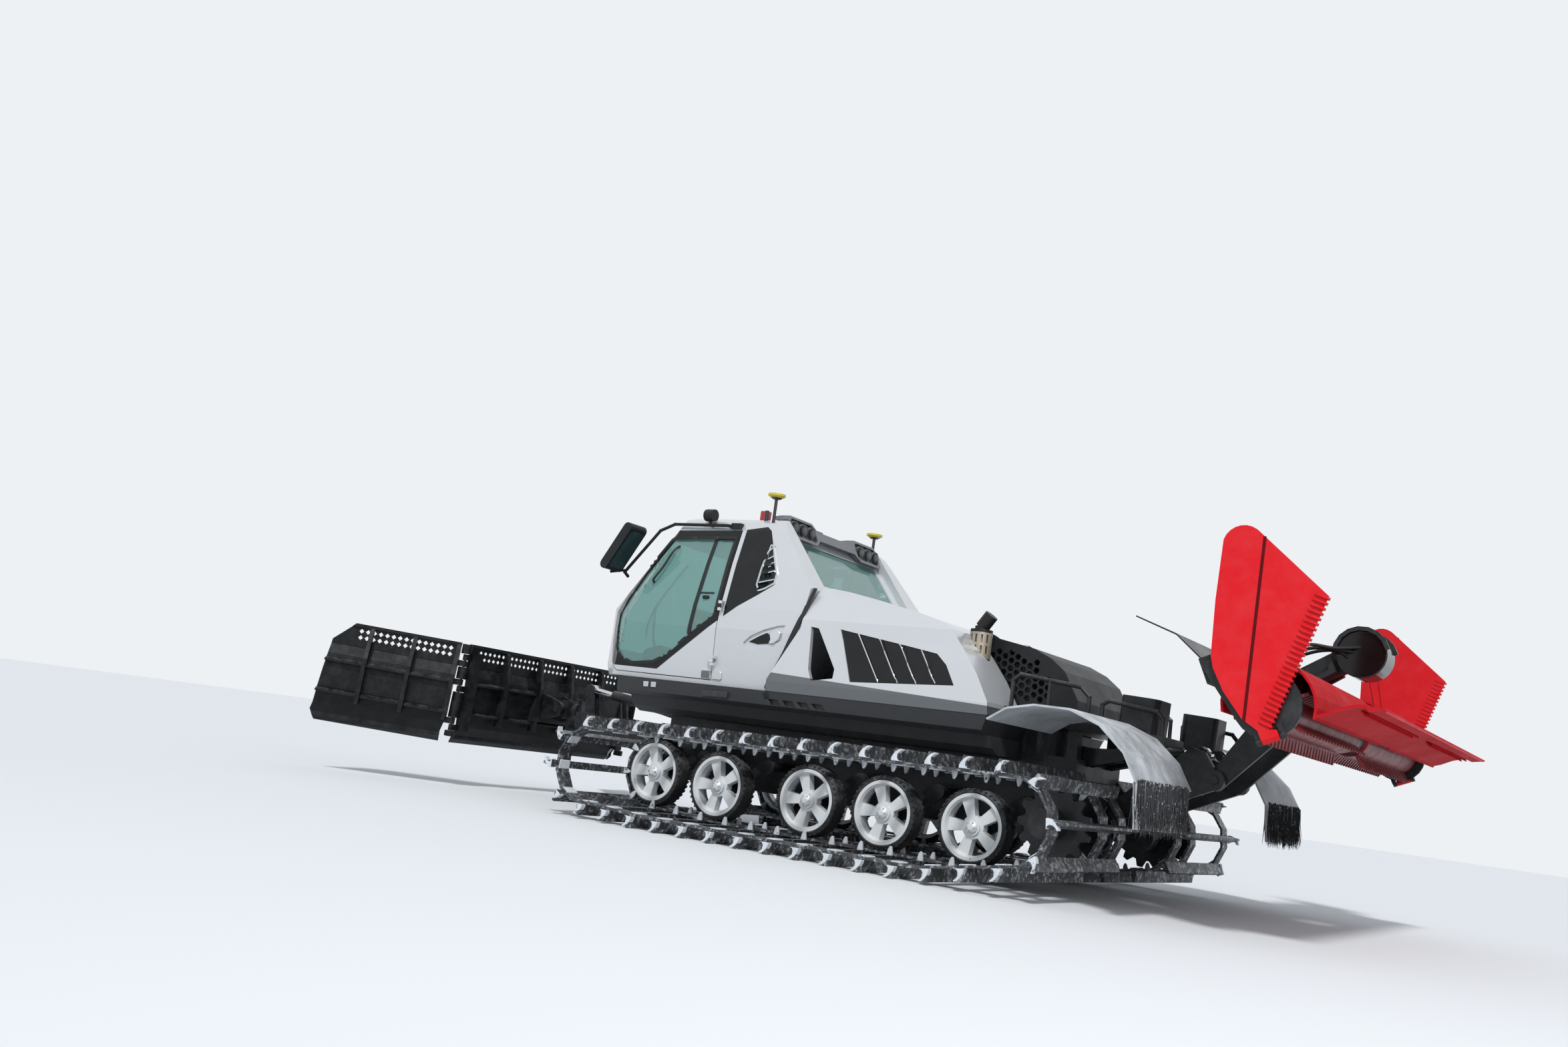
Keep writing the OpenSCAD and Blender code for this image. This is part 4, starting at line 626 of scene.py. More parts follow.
def piece(name, body, part, material, ease=0.0, replaces=()):
    """An object at the origin that rides on a body, its edges eased by a bevel of a few millimetres."""
    points, faces = part
    mesh = bpy.data.meshes.new(name)
    mesh.from_pydata(np.asarray(points).tolist(), [], faces)
    mesh.materials.append(material)
    mesh.shade_smooth()
    mesh.set_sharp_from_angle(angle=SHARP)
    thing = bpy.data.objects.new(name, mesh)
    bpy.context.scene.collection.objects.link(thing)
    if ease:
        bevel = thing.modifiers.new("EasedEdges", "BEVEL")
        bevel.width, bevel.segments = ease, 2
        bevel.limit_method, bevel.angle_limit = "ANGLE", SHARP
    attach(thing, body)
    if replaces:
        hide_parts(*replaces)
    print(name, "on", body, len(faces), "faces")
    return thing


# %% [markdown]
# ## Tracks
# A belt has a bent lug at each bar's outer end, which grips sideways, and horns on its inner
# side that keep the wheels from running off. Both repeat with the bars, so the belt's
# line is worked out once, as in the CAD source, and one small shape is copied to each bar.

# %% The belt's line
# Circles that the belt runs round, as x, z and radius: sprocket, last and second wheel, front wheel.
CIRCLES = np.array([(-2.270, 0.530, 0.300), (-1.560, 0.415, 0.300), (0.920, 0.415, 0.300),
                    (1.650, 0.450, 0.300)])
BELT_T, BAR_PITCH, BAR_FOOT = 0.020, 0.275, 0.033
STEPS_A_HALF_TURN = 6
TRACK_OUT = 2.130


def belt_corners(out):
    """Corners of straight steps that touch the circles: at r / cos(half a step) from each centre."""
    step_to = np.roll(CIRCLES, -1, 0) - CIRCLES
    leave = np.degrees(np.arctan2(step_to[:, 1], step_to[:, 0])) - 90
    arrive = np.roll(leave, 1)
    corners = []
    for (x, z, r), a0, a1 in zip(CIRCLES, arrive, leave):
        turn = (a1 - a0 + 720) % 360
        n = max(1, round(turn * STEPS_A_HALF_TURN / 180))
        a = np.radians(a0 + turn / n * (np.arange(n) + 0.5))
        far = (r + out) / math.cos(math.radians(turn / n / 2))
        corners.append(np.stack([x + far * np.cos(a), z + far * np.sin(a)], 1))
    return np.concatenate(corners)


def bar_places():
    """Middle and heading of each bar: even lengths along the belt's outer line, kept off its corners."""
    line = belt_corners(BELT_T)
    step = np.roll(line, -1, 0) - line
    length = np.linalg.norm(step, axis=1)
    start = np.concatenate([[0], np.cumsum(length)[:-1]])
    count = round(length.sum() / BAR_PITCH)
    s = (np.arange(count) + 0.5) * length.sum() / count
    i = np.searchsorted(start, s, side="right") - 1
    t = np.clip(s - start[i], BAR_FOOT, length[i] - BAR_FOOT)
    heading = step[i] / length[i][:, None]
    return line[i] + heading * t[:, None], heading


BARS, BAR_HEADINGS = bar_places()
print(len(BARS), "bars a track")


def on_bars(part):
    """A part drawn with x along the belt, y across and z outwards, copied to every bar."""
    zero = np.zeros(len(BARS))
    origins = np.stack([BARS[:, 0] + FRAME_X, zero, BARS[:, 1]], 1)
    xs = np.stack([BAR_HEADINGS[:, 0], zero, BAR_HEADINGS[:, 1]], 1)
    zs = np.stack([BAR_HEADINGS[:, 1], zero, -BAR_HEADINGS[:, 0]], 1)
    return copies(part, origins, xs, (0, 1, 0), zs)


# %% Bar ends and guide horns
FROSTED = finish("FrostOnTrackAlloy", "#DDE2E7", "#A9AFB5", mottle_mm=90, rough=(0.6, 0.8), grain_mm=4.0,
                 grain=0.5, wear="#3A3C3F", wear_mm=70, wear_share=0.42, film=FROST, film_amount=0.5,
                 film_mm=40)
HOOK = [(-0.036, 0.001), (-0.034, 0.022), (-0.022, 0.046), (-0.004, 0.068), (0.020, 0.084), (0.046, 0.090),
        (0.048, 0.080), (0.030, 0.070), (0.014, 0.052), (0.010, 0.026), (0.020, 0.008), (0.040, 0.001)]
HORN = [(-0.026, -0.001), (0.026, -0.001), (0.016, -0.050), (0.002, -0.074), (-0.012, -0.070),
        (-0.020, -0.040)]
PLATE = [(-0.040, -0.0205), (0.040, -0.0205), (0.034, -0.030), (-0.034, -0.030)]
HORN_YS, PLATE_YS, PLATE_HALF = (0.950, 1.163), (0.675, 1.995), 0.062
horn = slab(HORN, -0.011, 0.011)
hooks = on_bars(slab(HOOK, TRACK_OUT - 0.045, TRACK_OUT + 0.008))
horns = join([on_bars((horn[0] + [0, y, 0], horn[1])) for y in HORN_YS])
plates = join([on_bars(slab(PLATE, y - PLATE_HALF, y + PLATE_HALF)) for y in PLATE_YS])
piece("TrackBarHooks", "machine", both(hooks), FROSTED, ease=0.004)
piece("TrackGuideHorns", "machine", both(horns), FROSTED, ease=0.003)
piece("TrackBackingPlates", "machine", both(plates), FROSTED, ease=0.002)

# %% [markdown]
# ## Tyres and hubs
# Each road wheel has a solid rubber tyre with slanted lugs on its shoulders. The CAD tyre is a
# ring of flats, so a turned ring with real sidewalls stands for it here.

# %% Tyres with slanted lugs
WHEELS = np.array([(1.650, 0.450), (0.920, 0.415), (-0.020, 0.415), (-0.760, 0.415), (-1.560, 0.415)])
TYRE_IN, TYRE_W, TYRE_R, TYRE_STEPS = 0.970, 0.170, 0.2995, 48
# Half of the tyre's section as radius and depth: lip of the rim, sidewall, shoulder, tread.
SIDEWALL = [(0.2595, 0.004), (0.268, 0.0), (0.276, 0.006), (0.288, 0.008), (0.2965, 0.016), (TYRE_R, 0.032)]
LUGS, LUG_AT_R, LUG_SLANT = 40, 0.2925, 0.5
LUG = [(-0.010, -0.004), (0.010, -0.004), (0.007, 0.006), (-0.007, 0.006)]


def grid_faces_between(steps, rows):
    """Quads that join the last ring of a turned shape to its first, so that it closes on itself."""
    c = np.arange(steps)
    n, last = (c + 1) % steps, (rows - 1) * steps
    return np.stack([last + c, last + n, n, c], 1).tolist()


def tyre(x, z):
    """A turned ring with rounded shoulders and lugs on both, slanted by x = x + slant times y."""
    profile = from_both_ends(SIDEWALL, TYRE_W)
    points, faces = lathe(at(x, TYRE_IN, z), (0, 1, 0), profile, TYRE_STEPS)
    ring = outward(points, faces[:-2] + grid_faces_between(TYRE_STEPS, len(profile)))
    t = np.linspace(0, 2 * math.pi, LUGS, endpoint=False)
    radial = np.stack([np.cos(t), 0 * t, np.sin(t)], 1)
    tangent = np.stack([-np.sin(t), 0 * t, np.cos(t)], 1)
    lug = along([(0, 0, 0), (0, 0.030, 0)], LUG, (1, 0, 0))
    lug[0][:, 0] += LUG_SLANT * lug[0][:, 1]
    lugs = [copies(lug, at(x, y, z) + radial * LUG_AT_R, tangent, (0, way, 0), radial)
            for y, way in ((TYRE_IN + TYRE_W + 0.001, -1), (TYRE_IN - 0.001, 1))]
    return join([ring] + [outward(*part) for part in lugs])


tyres = join([tyre(x, z) for x, z in WHEELS])
piece("TyresWithLugs", "machine", both(tyres), RUBBER, replaces=("road_tyres",))

# %% Hub caps and their nuts
HUB_CAP = [(0.052, 0.0), (0.052, 0.020), (0.046, 0.028), (0.030, 0.034), (0.024, 0.040), (0.001, 0.042)]
hub_caps = [lathe(at(x, TYRE_IN + TYRE_W - 0.020, z), (0, 1, 0), HUB_CAP, 28) for x, z in WHEELS]
piece("HubCaps", "machine", both(join(hub_caps)), RIM_ALLOY)
NUT_CIRCLE, NUTS = 0.037, 6
nut_turns = np.linspace(0, 2 * math.pi, NUTS, endpoint=False)
nut_places = NUT_CIRCLE * np.stack([np.cos(nut_turns), 0 * nut_turns, np.sin(nut_turns)], 1)
nut = lathe((0, 0, 0), (0, 1, 0), [(0.0075, 0.0), (0.0075, 0.007), (0.006, 0.009)], 6)
nuts = [copies(nut, at(x, TYRE_IN + TYRE_W + 0.011, z) + nut_places, *np.eye(3)) for x, z in WHEELS]
piece("HubNuts", "machine", both(join(nuts)), CHROME)

# %% [markdown]
# ## Rear flaps
# Rubber sheets hang behind the tracks and end in a brush of stiff black strands. Hair particles
# would look right in a render and be lost in an exported mesh, so each strand is a thin tapered
# prism, and some six hundred of them make each brush.

# %% Brush strands
dice = np.random.default_rng(7)
STRANDS, BRUSH_X = 620, -3.178
# Ranges of the roots, along the machine, across it and in height, and of how far a strand hangs.
ROOT_AHEAD, ROOT_Y, ROOT_Z, DROP = (-0.022, 0.012), (1.065, 2.140), (0.885, 0.93), (0.24, 0.345)
# Mean and spread of a tip's sway, along the machine and across it.
SWAY_X, SWAY_Y = (-0.02, 0.014), (0, 0.02)
# Radius of a strand at its root, knee and tip, and the knee's share of the drop and of the sway.
STRAND_R, KNEE_DROP, KNEE_SWAY = (0.0042, 0.0038, 0.0012), 0.55, 0.3


def brush(count):
    """Strands as three-sided needles whose tips wander: tip = root + length down + a small sway."""
    y = np.sort(dice.uniform(*ROOT_Y, count))
    x = BRUSH_X + FRAME_X + dice.uniform(*ROOT_AHEAD, count)
    root = np.stack([x, y, dice.uniform(*ROOT_Z, count)], 1)
    drop = dice.uniform(*DROP, count)
    sway = np.stack([dice.normal(*SWAY_X, count), dice.normal(*SWAY_Y, count), 0 * y], 1)
    down = np.stack([0 * y, 0 * y, -drop], 1)
    knee = root + down * KNEE_DROP + sway * KNEE_SWAY
    tip = root + down + sway
    t = np.radians([90, 210, 330])
    tri = np.stack([np.cos(t), np.sin(t), 0 * t], 1)
    rings = np.stack([spot[:, None] + tri * r for spot, r in zip((root, knee, tip), STRAND_R)], 1)
    one = np.array([(0, 1, 4, 3), (1, 2, 5, 4), (2, 0, 3, 5), (3, 4, 7, 6), (4, 5, 8, 7), (5, 3, 6, 8)])
    faces = (one[None] + 9 * np.arange(count)[:, None, None]).reshape(-1, 4).tolist()
    ends = [[9 * k + i for i in f] for k in range(count) for f in ((2, 1, 0), (6, 7, 8))]
    return outward(rings.reshape(-1, 3), faces + ends)


BRISTLE = finish("FrostedBlackBristle", "#17181A", "#2B2D30", mottle_mm=30, rough=(0.5, 0.65),
                 wear="#C9CFD5", wear_mm=26, wear_share=0.40)
piece("FlapBrushes", "machine", both(brush(STRANDS)), BRISTLE)

# %% [markdown]
# ## Trim on the cab's sides
# Trim lies on panels that lean and taper. It could be placed by hand, or pulled on with a
# Shrinkwrap modifier, but then its height and direction would have to be guessed. Here a ray is
# sent in from the side at each station, and where it meets the CAD's surface the trim gets its
# point and the direction it faces.

# %% Points on the machine's skin
def skin(*names):
    """A search tree over the faces of some CAD nodes."""
    points, faces, start = [], [], 0
    for name in names:
        mesh = NODES[name].data
        points += [v.co[:] for v in mesh.vertices]
        faces += [[start + i for i in p.vertices] for p in mesh.polygons]
        start = len(points)
    return BVHTree.FromPolygons(points, faces)


def on_side(tree, stations, lift=0.0, y_from=2.0):
    """Points where rays along -Y meet the skin at stations (x, z), lifted along its normal."""
    spots, normals = [], []
    for x, z in stations:
        spot, normal, _, _ = tree.ray_cast(Vector((x + FRAME_X, y_from, z)), Vector((0, -1, 0)))
        spots.append(spot if spot else (x + FRAME_X, 1.0, z))
        normals.append(normal if spot else (0, 1, 0))
    spots, normals = np.array(spots), np.array(normals)
    normals = normals * np.sign(normals[:, 1:2])
    return spots + normals * lift, normals


def dense(stations, gap=0.03, closed=False):
    """Stations filled in with even steps of at most gap along straight lines."""
    p = np.asarray(stations, float)
    if closed:
        p = np.concatenate([p, p[:1]])
    steps = [max(2, int(np.linalg.norm(b - a) / gap) + 1) for a, b in zip(p[:-1], p[1:])]
    out = [np.linspace(a, b, n, endpoint=False) for a, b, n in zip(p[:-1], p[1:], steps)]
    return np.concatenate(out + ([] if closed else [p[-1:]]))


def strip_on(tree, stations, width, height, closed=False, lift=-0.001):
    """A flat strip that follows stations over the skin, standing on it by its height."""
    spots, normals = on_side(tree, dense(stations, closed=closed), lift)
    return along(spots, flat_bar(width, height), normals, closed)


CAB_SKIN = skin("cab_shell", "quarter_panels", "door_left", "door_glass_left", "body_top", "side_panel_left",
                "lower_belt")
DOOR_SKIN = skin("door_left", "door_glass_left")
LOUVRE_SKIN = skin("side_louvres", "side_panel_left")

# %% Gap between cab and body, and seals round the glass
GAP_LINE = [(0.232, 2.220), (0.246, 1.976), (0.368, 1.620), (0.503, 1.314), (0.445, 1.213)]
GAP_REACH = 0.055


def strip_between(tree, stations, width, height, reach):
    """A strip along a gap: each point is the mean of the skin's points at x - reach and x + reach."""
    line = dense(stations)
    sides = [on_side(tree, line + [way * reach, 0.0]) for way in (-1, 1)]
    spots, normals = (np.mean([side[k] for side in sides], axis=0) for k in (0, 1))
    return along(spots + normals * 0.003, flat_bar(width, height), normals)


SEAL = finish("BlackRubberSeal", "#0E0F10", "#151617", mottle_mm=80, rough=(0.55, 0.7), grain_mm=1.0,
              grain=0.15)
gap_seal = strip_between(CAB_SKIN, GAP_LINE, width=0.042, height=0.010, reach=GAP_REACH)
piece("CabGapSeals", "machine", both(gap_seal), SEAL, ease=0.002)
# Bars of the sliding pane, as stations, width and height: divider, rear bar, top rail, finger rail.
PANE_BARS = [([(1.436, 2.650), (1.455, 2.250), (1.480, 1.720)], 0.038, 0.010),
             ([(1.225, 2.655), (1.225, 2.300), (1.225, 1.930)], 0.026, 0.008),
             ([(1.436, 2.646), (1.225, 2.650)], 0.026, 0.008),
             ([(1.285, 2.120), (1.440, 2.115)], 0.016, 0.007)]
PANE_LATCH = [(1.330, 2.075), (1.395, 2.072)]
GLASS_EDGE = [(1.210, 1.930), (1.450, 1.740), (1.690, 1.530), (1.860, 1.440), (2.120, 1.410), (2.250, 1.450),
              (2.350, 1.560), (2.385, 1.750), (2.360, 2.020), (2.220, 2.290), (1.930, 2.640), (1.210, 2.660)]
glass_seal = strip_on(DOOR_SKIN, GLASS_EDGE, width=0.030, height=0.004, closed=True)
pane_bars = join([strip_on(DOOR_SKIN, *bar) for bar in PANE_BARS])
latch = strip_on(DOOR_SKIN, PANE_LATCH, width=0.030, height=0.026)
for side_name, turn in SIDES:
    body = "door_" + side_name
    piece("GlassSeal_" + side_name, body, turn(glass_seal), SEAL, ease=0.0015)
    piece("SlidingPaneFrame_" + side_name, body, turn(pane_bars), SEAL, ease=0.002)
    piece("PaneLatch_" + side_name, body, turn(latch), MOULDED_BLACK, ease=0.006)

# %% Bright trim: louvre strips and the quarter vent
LOUVRE_STRIPS = [((-0.346, 1.848), (-0.632, 1.446)), ((-0.556, 1.818), (-0.807, 1.456)),
                 ((-0.756, 1.786), (-0.977, 1.466)), ((-0.966, 1.748), (-1.147, 1.482))]
strips = join([strip_on(LOUVRE_SKIN, line, width=0.011, height=0.007) for line in LOUVRE_STRIPS])
piece("LouvreStrips", "machine", both(strips), CHROME, ease=0.002)
VENT_EDGE = [(0.790, 2.600), (0.808, 2.500), (0.823, 2.360), (0.828, 2.219), (0.800, 2.160), (0.729, 2.186),
             (0.640, 2.240), (0.640, 2.330), (0.711, 2.477), (0.762, 2.590)]
VENT_SLATS = 5
vent = [strip_on(CAB_SKIN, VENT_EDGE, width=0.017, height=0.012, closed=True)]
for k in range(VENT_SLATS):
    slat = [(0.655 + 0.022 * k, 2.274 + 0.080 * k), (0.812 - 0.004 * k, 2.239 + 0.077 * k)]
    vent.append(strip_on(CAB_SKIN, slat, width=0.012, height=0.012))
piece("QuarterVents", "machine", both(join(vent)), CHROME, ease=0.002)

# %% [markdown]
# ## Inside the cab
# Two sprung seats, a console and a dash show through the glass. The CAD holds them as plain
# blocks. Here each cushion is a closed form that swells between its edges: a box whose faces
# bulge, written as a sphere whose coordinates are raised to a power below one.

# %% Cushions
FLOOR_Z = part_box("cab_interior")[0][2]
SEAT_X, SEAT_YS = 1.150 + FRAME_X, (-0.52, 0.0)
LEAN = np.array([-0.165, 0.0, 0.986])
BACK = np.cross(LEAN, (0, 1, 0))
# Each cushion of a seat: ahead of its plinth, above the floor, half its sizes, and its own X and Z.
CUSHIONS = [(0.02, 0.375, (0.275, 0.245, 0.078), (1, 0, 0), (0, 0, 1)),
            (-0.247, 0.775, (0.345, 0.235, 0.066), LEAN, BACK),
            (-0.315, 1.195, (0.085, 0.130, 0.050), LEAN, BACK)]
# Depth and width of the seam round the middle, and depth, place and width of the sewn channels.
SEAM_DIP, SEAM_WIDTH = 0.035, 0.10
CHANNEL_DIP, CHANNEL_AT, CHANNEL_WIDTH = 0.05, 0.36, 0.004


def swell(s, power):
    """A coordinate of a sphere pushed outwards: sign(s) |s|^power."""
    return np.sign(s) * np.abs(s) ** power


def cushion(centre, half, along_x, along_z, power=0.36, rows=22, columns=40):
    """Swollen box: coordinate = half x swell of a sphere's, less a seam at mid-height and two channels."""
    v = np.linspace(-math.pi / 2 + 0.02, math.pi / 2 - 0.02, rows)[:, None]
    u = np.linspace(0, 2 * math.pi, columns, endpoint=False)[None, :]
    seam = 1 - SEAM_DIP * np.exp(-(v / SEAM_WIDTH) ** 2)
    ring = np.abs(np.cos(v)) ** power * seam
    a, b = half[0] * ring * swell(np.cos(u), power), half[1] * ring * swell(np.sin(u), power)
    across = (b / half[1]).clip(-1, 1) ** 2
    channels = 1 - CHANNEL_DIP * np.exp(-(across - CHANNEL_AT) ** 2 / CHANNEL_WIDTH)
    c = half[2] * swell(np.sin(v), power) * channels
    ax, ay, az = (np.asarray(way, float) for way in (along_x, (0, 1, 0), along_z))
    points = np.asarray(centre) + a[..., None] * ax + b[..., None] * ay + c[..., None] * az
    return outward(points.reshape(-1, 3), grid_faces(rows, columns) + caps(rows, columns))


pads = [cushion((SEAT_X + ahead, y, FLOOR_Z + above), half, x_way, z_way)
        for y in SEAT_YS for ahead, above, half, x_way, z_way in CUSHIONS]
seats = piece("CabCushions", "machine", join(pads), SEAT_CLOTH, replaces=("cab_interior",))

# %% Plinths, console, dash and controls
# Outlines in X and Z, the plinth's and the console's over the floor.
PLINTH = np.array([(-0.18, 0.0), (0.18, 0.0), (0.14, 0.29), (-0.14, 0.29)])
CONSOLE = np.array([(0.44, 0.0), (1.44, 0.0), (1.38, 0.44), (1.20, 0.52), (0.50, 0.50)])
DASH = [(1.89, FLOOR_Z), (2.16, FLOOR_Z), (2.22, 1.56), (2.18, 1.60), (2.02, 1.645), (1.99, 1.62)]
SCREEN_PLATE = [(1.62, 1.78), (1.645, 1.79), (1.56, 2.02), (1.535, 2.01)]
WHEEL_AT, WHEEL_AXIS, WHEEL_R = np.array([1.56, 0.0, 1.86]), np.array([-0.62, 0.0, 0.78]), 0.19
LEVER = [(1.25, 0.44, FLOOR_Z + 0.50), (1.25, 0.44, FLOOR_Z + 0.60), (1.27, 0.43, FLOOR_Z + 0.70)]
# Tubes, straight and bent: path, radius, steps round and the direction of the side.
TUBES = [([WHEEL_AT, WHEEL_AT - WHEEL_AXIS * 0.40], 0.028, 12, (0, 1, 0)),
         ([WHEEL_AT - (0, 0.185, 0), WHEEL_AT, WHEEL_AT + (0, 0.185, 0)], 0.012, 8, (1, 0, 0)),
         (smooth_path(LEVER, 6), 0.020, 12, (0, 1, 0)),
         ([(1.60, 0.50, 1.52), (1.61, 0.50, 1.80)], 0.018, 10, (0, 1, 0))]


def wheel_rim(steps=40):
    """The steering wheel's rim: centre + R (u cos t + y sin t), with u square to the column and to y."""
    t = np.linspace(0, 2 * math.pi, steps, endpoint=False)[:, None]
    u = np.cross(WHEEL_AXIS, (0, 1, 0))
    ring = WHEEL_AT + WHEEL_R * (np.cos(t) * u + np.sin(t) * np.array([0, 1, 0]))
    return along(ring, circle(0.014, 10), WHEEL_AXIS, True)


hard = [slab(PLINTH + (SEAT_X, FLOOR_Z), y - 0.15, y + 0.15) for y in SEAT_YS]
hard += [slab(CONSOLE + (0, FLOOR_Z), 0.33, 0.56), slab(DASH, -0.56, 0.56), slab(SCREEN_PLATE, 0.36, 0.66)]
hard.append(wheel_rim())
hard += [along(tube, circle(radius, steps), side) for tube, radius, steps, side in TUBES]
piece("CabFurniture", "machine", join(hard), MOULDED_BLACK, ease=0.008)

# %% [markdown]
# ## Lamps and mirrors
# A work lamp is a chrome bowl behind a clear domed lens in a dark bezel. A flat bright disc would
# look painted on. The bowl is a paraboloid, which is why it looks bright from one side only. The
# mirrors' panes face back, towards the driver, and are thin boards with round corners.

# %% Lamps of the roof
LAMP_Z, LAMP_R, LAMP_YS = 2.824, 0.055, (0.450, 0.595, 0.740)
FRONT_LAMP, FRONT_LAMP_R = at(1.585, 0.985, 2.868), 0.056
# Along a lamp's axis: the bowl's middle and its depth, the lens's foot and the height of its dome.
BOWL_MIDDLE, BOWL_DEPTH, LENS_FOOT, LENS_DOME = 0.0015, 0.003, 0.009, 0.007
# The bezel's section, as shares of the radius and heights.
BEZEL = [(0.86, 0.002), (1.0, 0.001), (1.0, 0.010), (0.86, 0.013)]


def lamp(centre, axis, radius):
    """Bezel, bowl (h = middle + depth k^2) and lens (h = foot + dome (1 - k^2)) at share k of the radius."""
    k = np.linspace(1, 0.05, 8)
    bowl = [(0.87, 0.0005), *zip(0.85 * k, BOWL_MIDDLE + BOWL_DEPTH * k * k)]
    lens = [(0.87, LENS_FOOT), *zip(0.86 * k, LENS_FOOT + LENS_DOME * (1 - k * k))]
    return [lathe(centre, axis, np.array(part) * (radius, 1), 32) for part in (BEZEL, bowl, lens)]


lamps = [lamp(at(0.745, y, LAMP_Z), (-1, 0, 0), LAMP_R) for y in LAMP_YS]
lamps.append(lamp(FRONT_LAMP, (1, 0, 0), FRONT_LAMP_R))
bezels, bowls, lenses = (both(join(parts)) for parts in zip(*lamps))
piece("LampBezels", "machine", bezels, GLOSS_BLACK)
piece("LampBowls", "machine", bowls, CHROME)
piece("LampLenses", "machine", lenses, LENS)


# %% Mirror panes and thin boards
def board(outline, origin, u, v, depth):
    """An outline in the plane of u and v, pushed along u x v."""
    u, v, o = (np.asarray(k, float) for k in (u, v, outline))
    flat = np.asarray(origin) + o[:, :1] * u + o[:, 1:] * v
    return prism(flat, flat + np.cross(u, v) * depth)


def rounded(half_a, half_b, corner, steps=5):
    """A rectangle with round corners: a quarter circle about each corner's centre."""
    t = np.radians(np.arange(4)[:, None] * 90 + np.linspace(0, 90, steps)[None, :])
    ca = (half_a - corner) * np.array([1, -1, -1, 1])[:, None]
    cb = (half_b - corner) * np.array([1, 1, -1, -1])[:, None]
    return np.stack([(ca + corner * np.cos(t)).ravel(), (cb + corner * np.sin(t)).ravel()], 1)


HEAD_TOP, HEAD_FOOT = at(2.175, 1.300, 2.650), at(2.395, 1.300, 2.300)
PANE, PANE_T = rounded(0.205, 0.098, 0.03), 0.003
# How far the pane and the backing plate stand from the middle of the mirror's head.
PANE_OUT, BACKING_OUT = 0.0481, -0.0511
head_up = (HEAD_TOP - HEAD_FOOT) / np.linalg.norm(HEAD_TOP - HEAD_FOOT)
head_out = np.cross(head_up, (0, 1, 0))
head_at = (HEAD_TOP + HEAD_FOOT) / 2
MIRROR_FACE = finish("SilveredMirrorPane", "#5B6268", "#565D63", mottle_mm=200, rough=(0.04, 0.07),
                     metal=1.0, grain_mm=1.0, grain=0.0)
pane = board(PANE, head_at + head_out * PANE_OUT, head_up, (0, 1, 0), PANE_T)
pane_back = board(PANE, head_at + head_out * BACKING_OUT, head_up, (0, 1, 0), PANE_T)
piece("MirrorPanes", "machine", both(pane), MIRROR_FACE)
piece("MirrorBacks", "machine", both(pane_back), MOULDED_BLACK, ease=0.001)

# %% [markdown]
# ## Handles, hinge covers, rails and steps
# The sunk handle behind the door is an eye-shaped dish with a raised pod, and a black plate in
# its slot is painted shade for the hollow. Small covers hide the door's lower hinge, a bent tube
# runs beside the windscreen pillar and a step plate juts out from the sill. Each plate takes its
# outline from the skin that it lies on, so it follows the panel's lean and leaves the panel itself
# as it is.

# %% Handle, hinge covers, rail, step
HANDLE_SLOT = [(0.800, 1.700), (0.690, 1.757), (0.614, 1.790), (0.572, 1.770), (0.560, 1.730),
               (0.575, 1.698), (0.700, 1.684)]
HANDLE_POD = [(0.575, 1.690), (0.560, 1.735), (0.575, 1.780), (0.560, 1.812), (0.500, 1.832),
              (0.455, 1.800), (0.470, 1.735), (0.510, 1.698)]
HINGE_COVER = [(1.152, 1.337), (1.152, 1.410), (1.062, 1.414), (1.050, 1.402), (1.048, 1.345), (1.058, 1.334)]
HINGE_LEAF = [(1.180, 1.337), (1.262, 1.332), (1.274, 1.344), (1.276, 1.400), (1.266, 1.410), (1.180, 1.410)]
# The rail's feet and knees on the door, and how far its middle stands off.
RAIL, RAIL_R = [(1.852, 2.560), (1.850, 2.500), (1.920, 2.330), (1.990, 2.210), (2.030, 2.190)], 0.011
RAIL_OFF, RAIL_WAY = np.array([0.0, 0.045, 0.045, 0.045, 0.0]), np.array([0.35, 1, 0.2])
STEP_PLATE = [(0.864, 1.186), (1.140, 1.178), (1.148, 1.226), (0.868, 1.236)]
SILL_LAMP = np.array([(0.0, 0.0), (0.062, -0.002), (0.062, 0.046), (0.0, 0.048)])
SILL_LAMPS_AT = ((1.690, 1.205), (1.780, 1.203))


def on_skin(tree, outline, depth, lift=-0.001):
    """A plate whose outline lies on the skin, pushed out along its mean normal."""
    spots, normals = on_side(tree, outline, lift)
    normal = normals.mean(0) / np.linalg.norm(normals.mean(0))
    return prism(spots, spots + normal * depth)


SHELL_SKIN, BELT_SKIN = skin("cab_shell"), skin("lower_belt")
# The slot is a black plate: painted shade for the sunk handle's hollow.
slot_shade = on_skin(SHELL_SKIN, HANDLE_SLOT, depth=0.009)
pods = on_skin(SHELL_SKIN, HANDLE_POD, depth=0.030)
piece("HandleSlotShade", "machine", both(slot_shade), MOULDED_BLACK, ease=0.002)
piece("HandlePods", "machine", both(pods), SILVER, ease=0.009)
covers = on_skin(SHELL_SKIN, HINGE_COVER, depth=0.016)
piece("HingeCovers", "machine", both(covers), SILVER, ease=0.005)
leaf = on_skin(DOOR_SKIN, HINGE_LEAF, depth=0.016)
knees = on_side(DOOR_SKIN, RAIL)[0] + RAIL_OFF[:, None] * RAIL_WAY
rail = along(smooth_path(knees, 8), circle(RAIL_R, 12), (0, 1, 0))
for side_name, turn in SIDES:
    body = "door_" + side_name
    piece("HingeLeaf_" + side_name, body, turn(leaf), SILVER, ease=0.005)
    piece("GrabRail_" + side_name, body, turn(rail), POWDER_BLACK)
step = on_skin(BELT_SKIN, STEP_PLATE, depth=0.030, lift=-0.002)
piece("SillSteps", "machine", both(step), CAST_IRON, ease=0.004)
sill_lamps = [on_skin(BELT_SKIN, SILL_LAMP + place, depth=0.012, lift=-0.002) for place in SILL_LAMPS_AT]
piece("SillLamps", "machine", both(join(sill_lamps)), CHROME, ease=0.004)

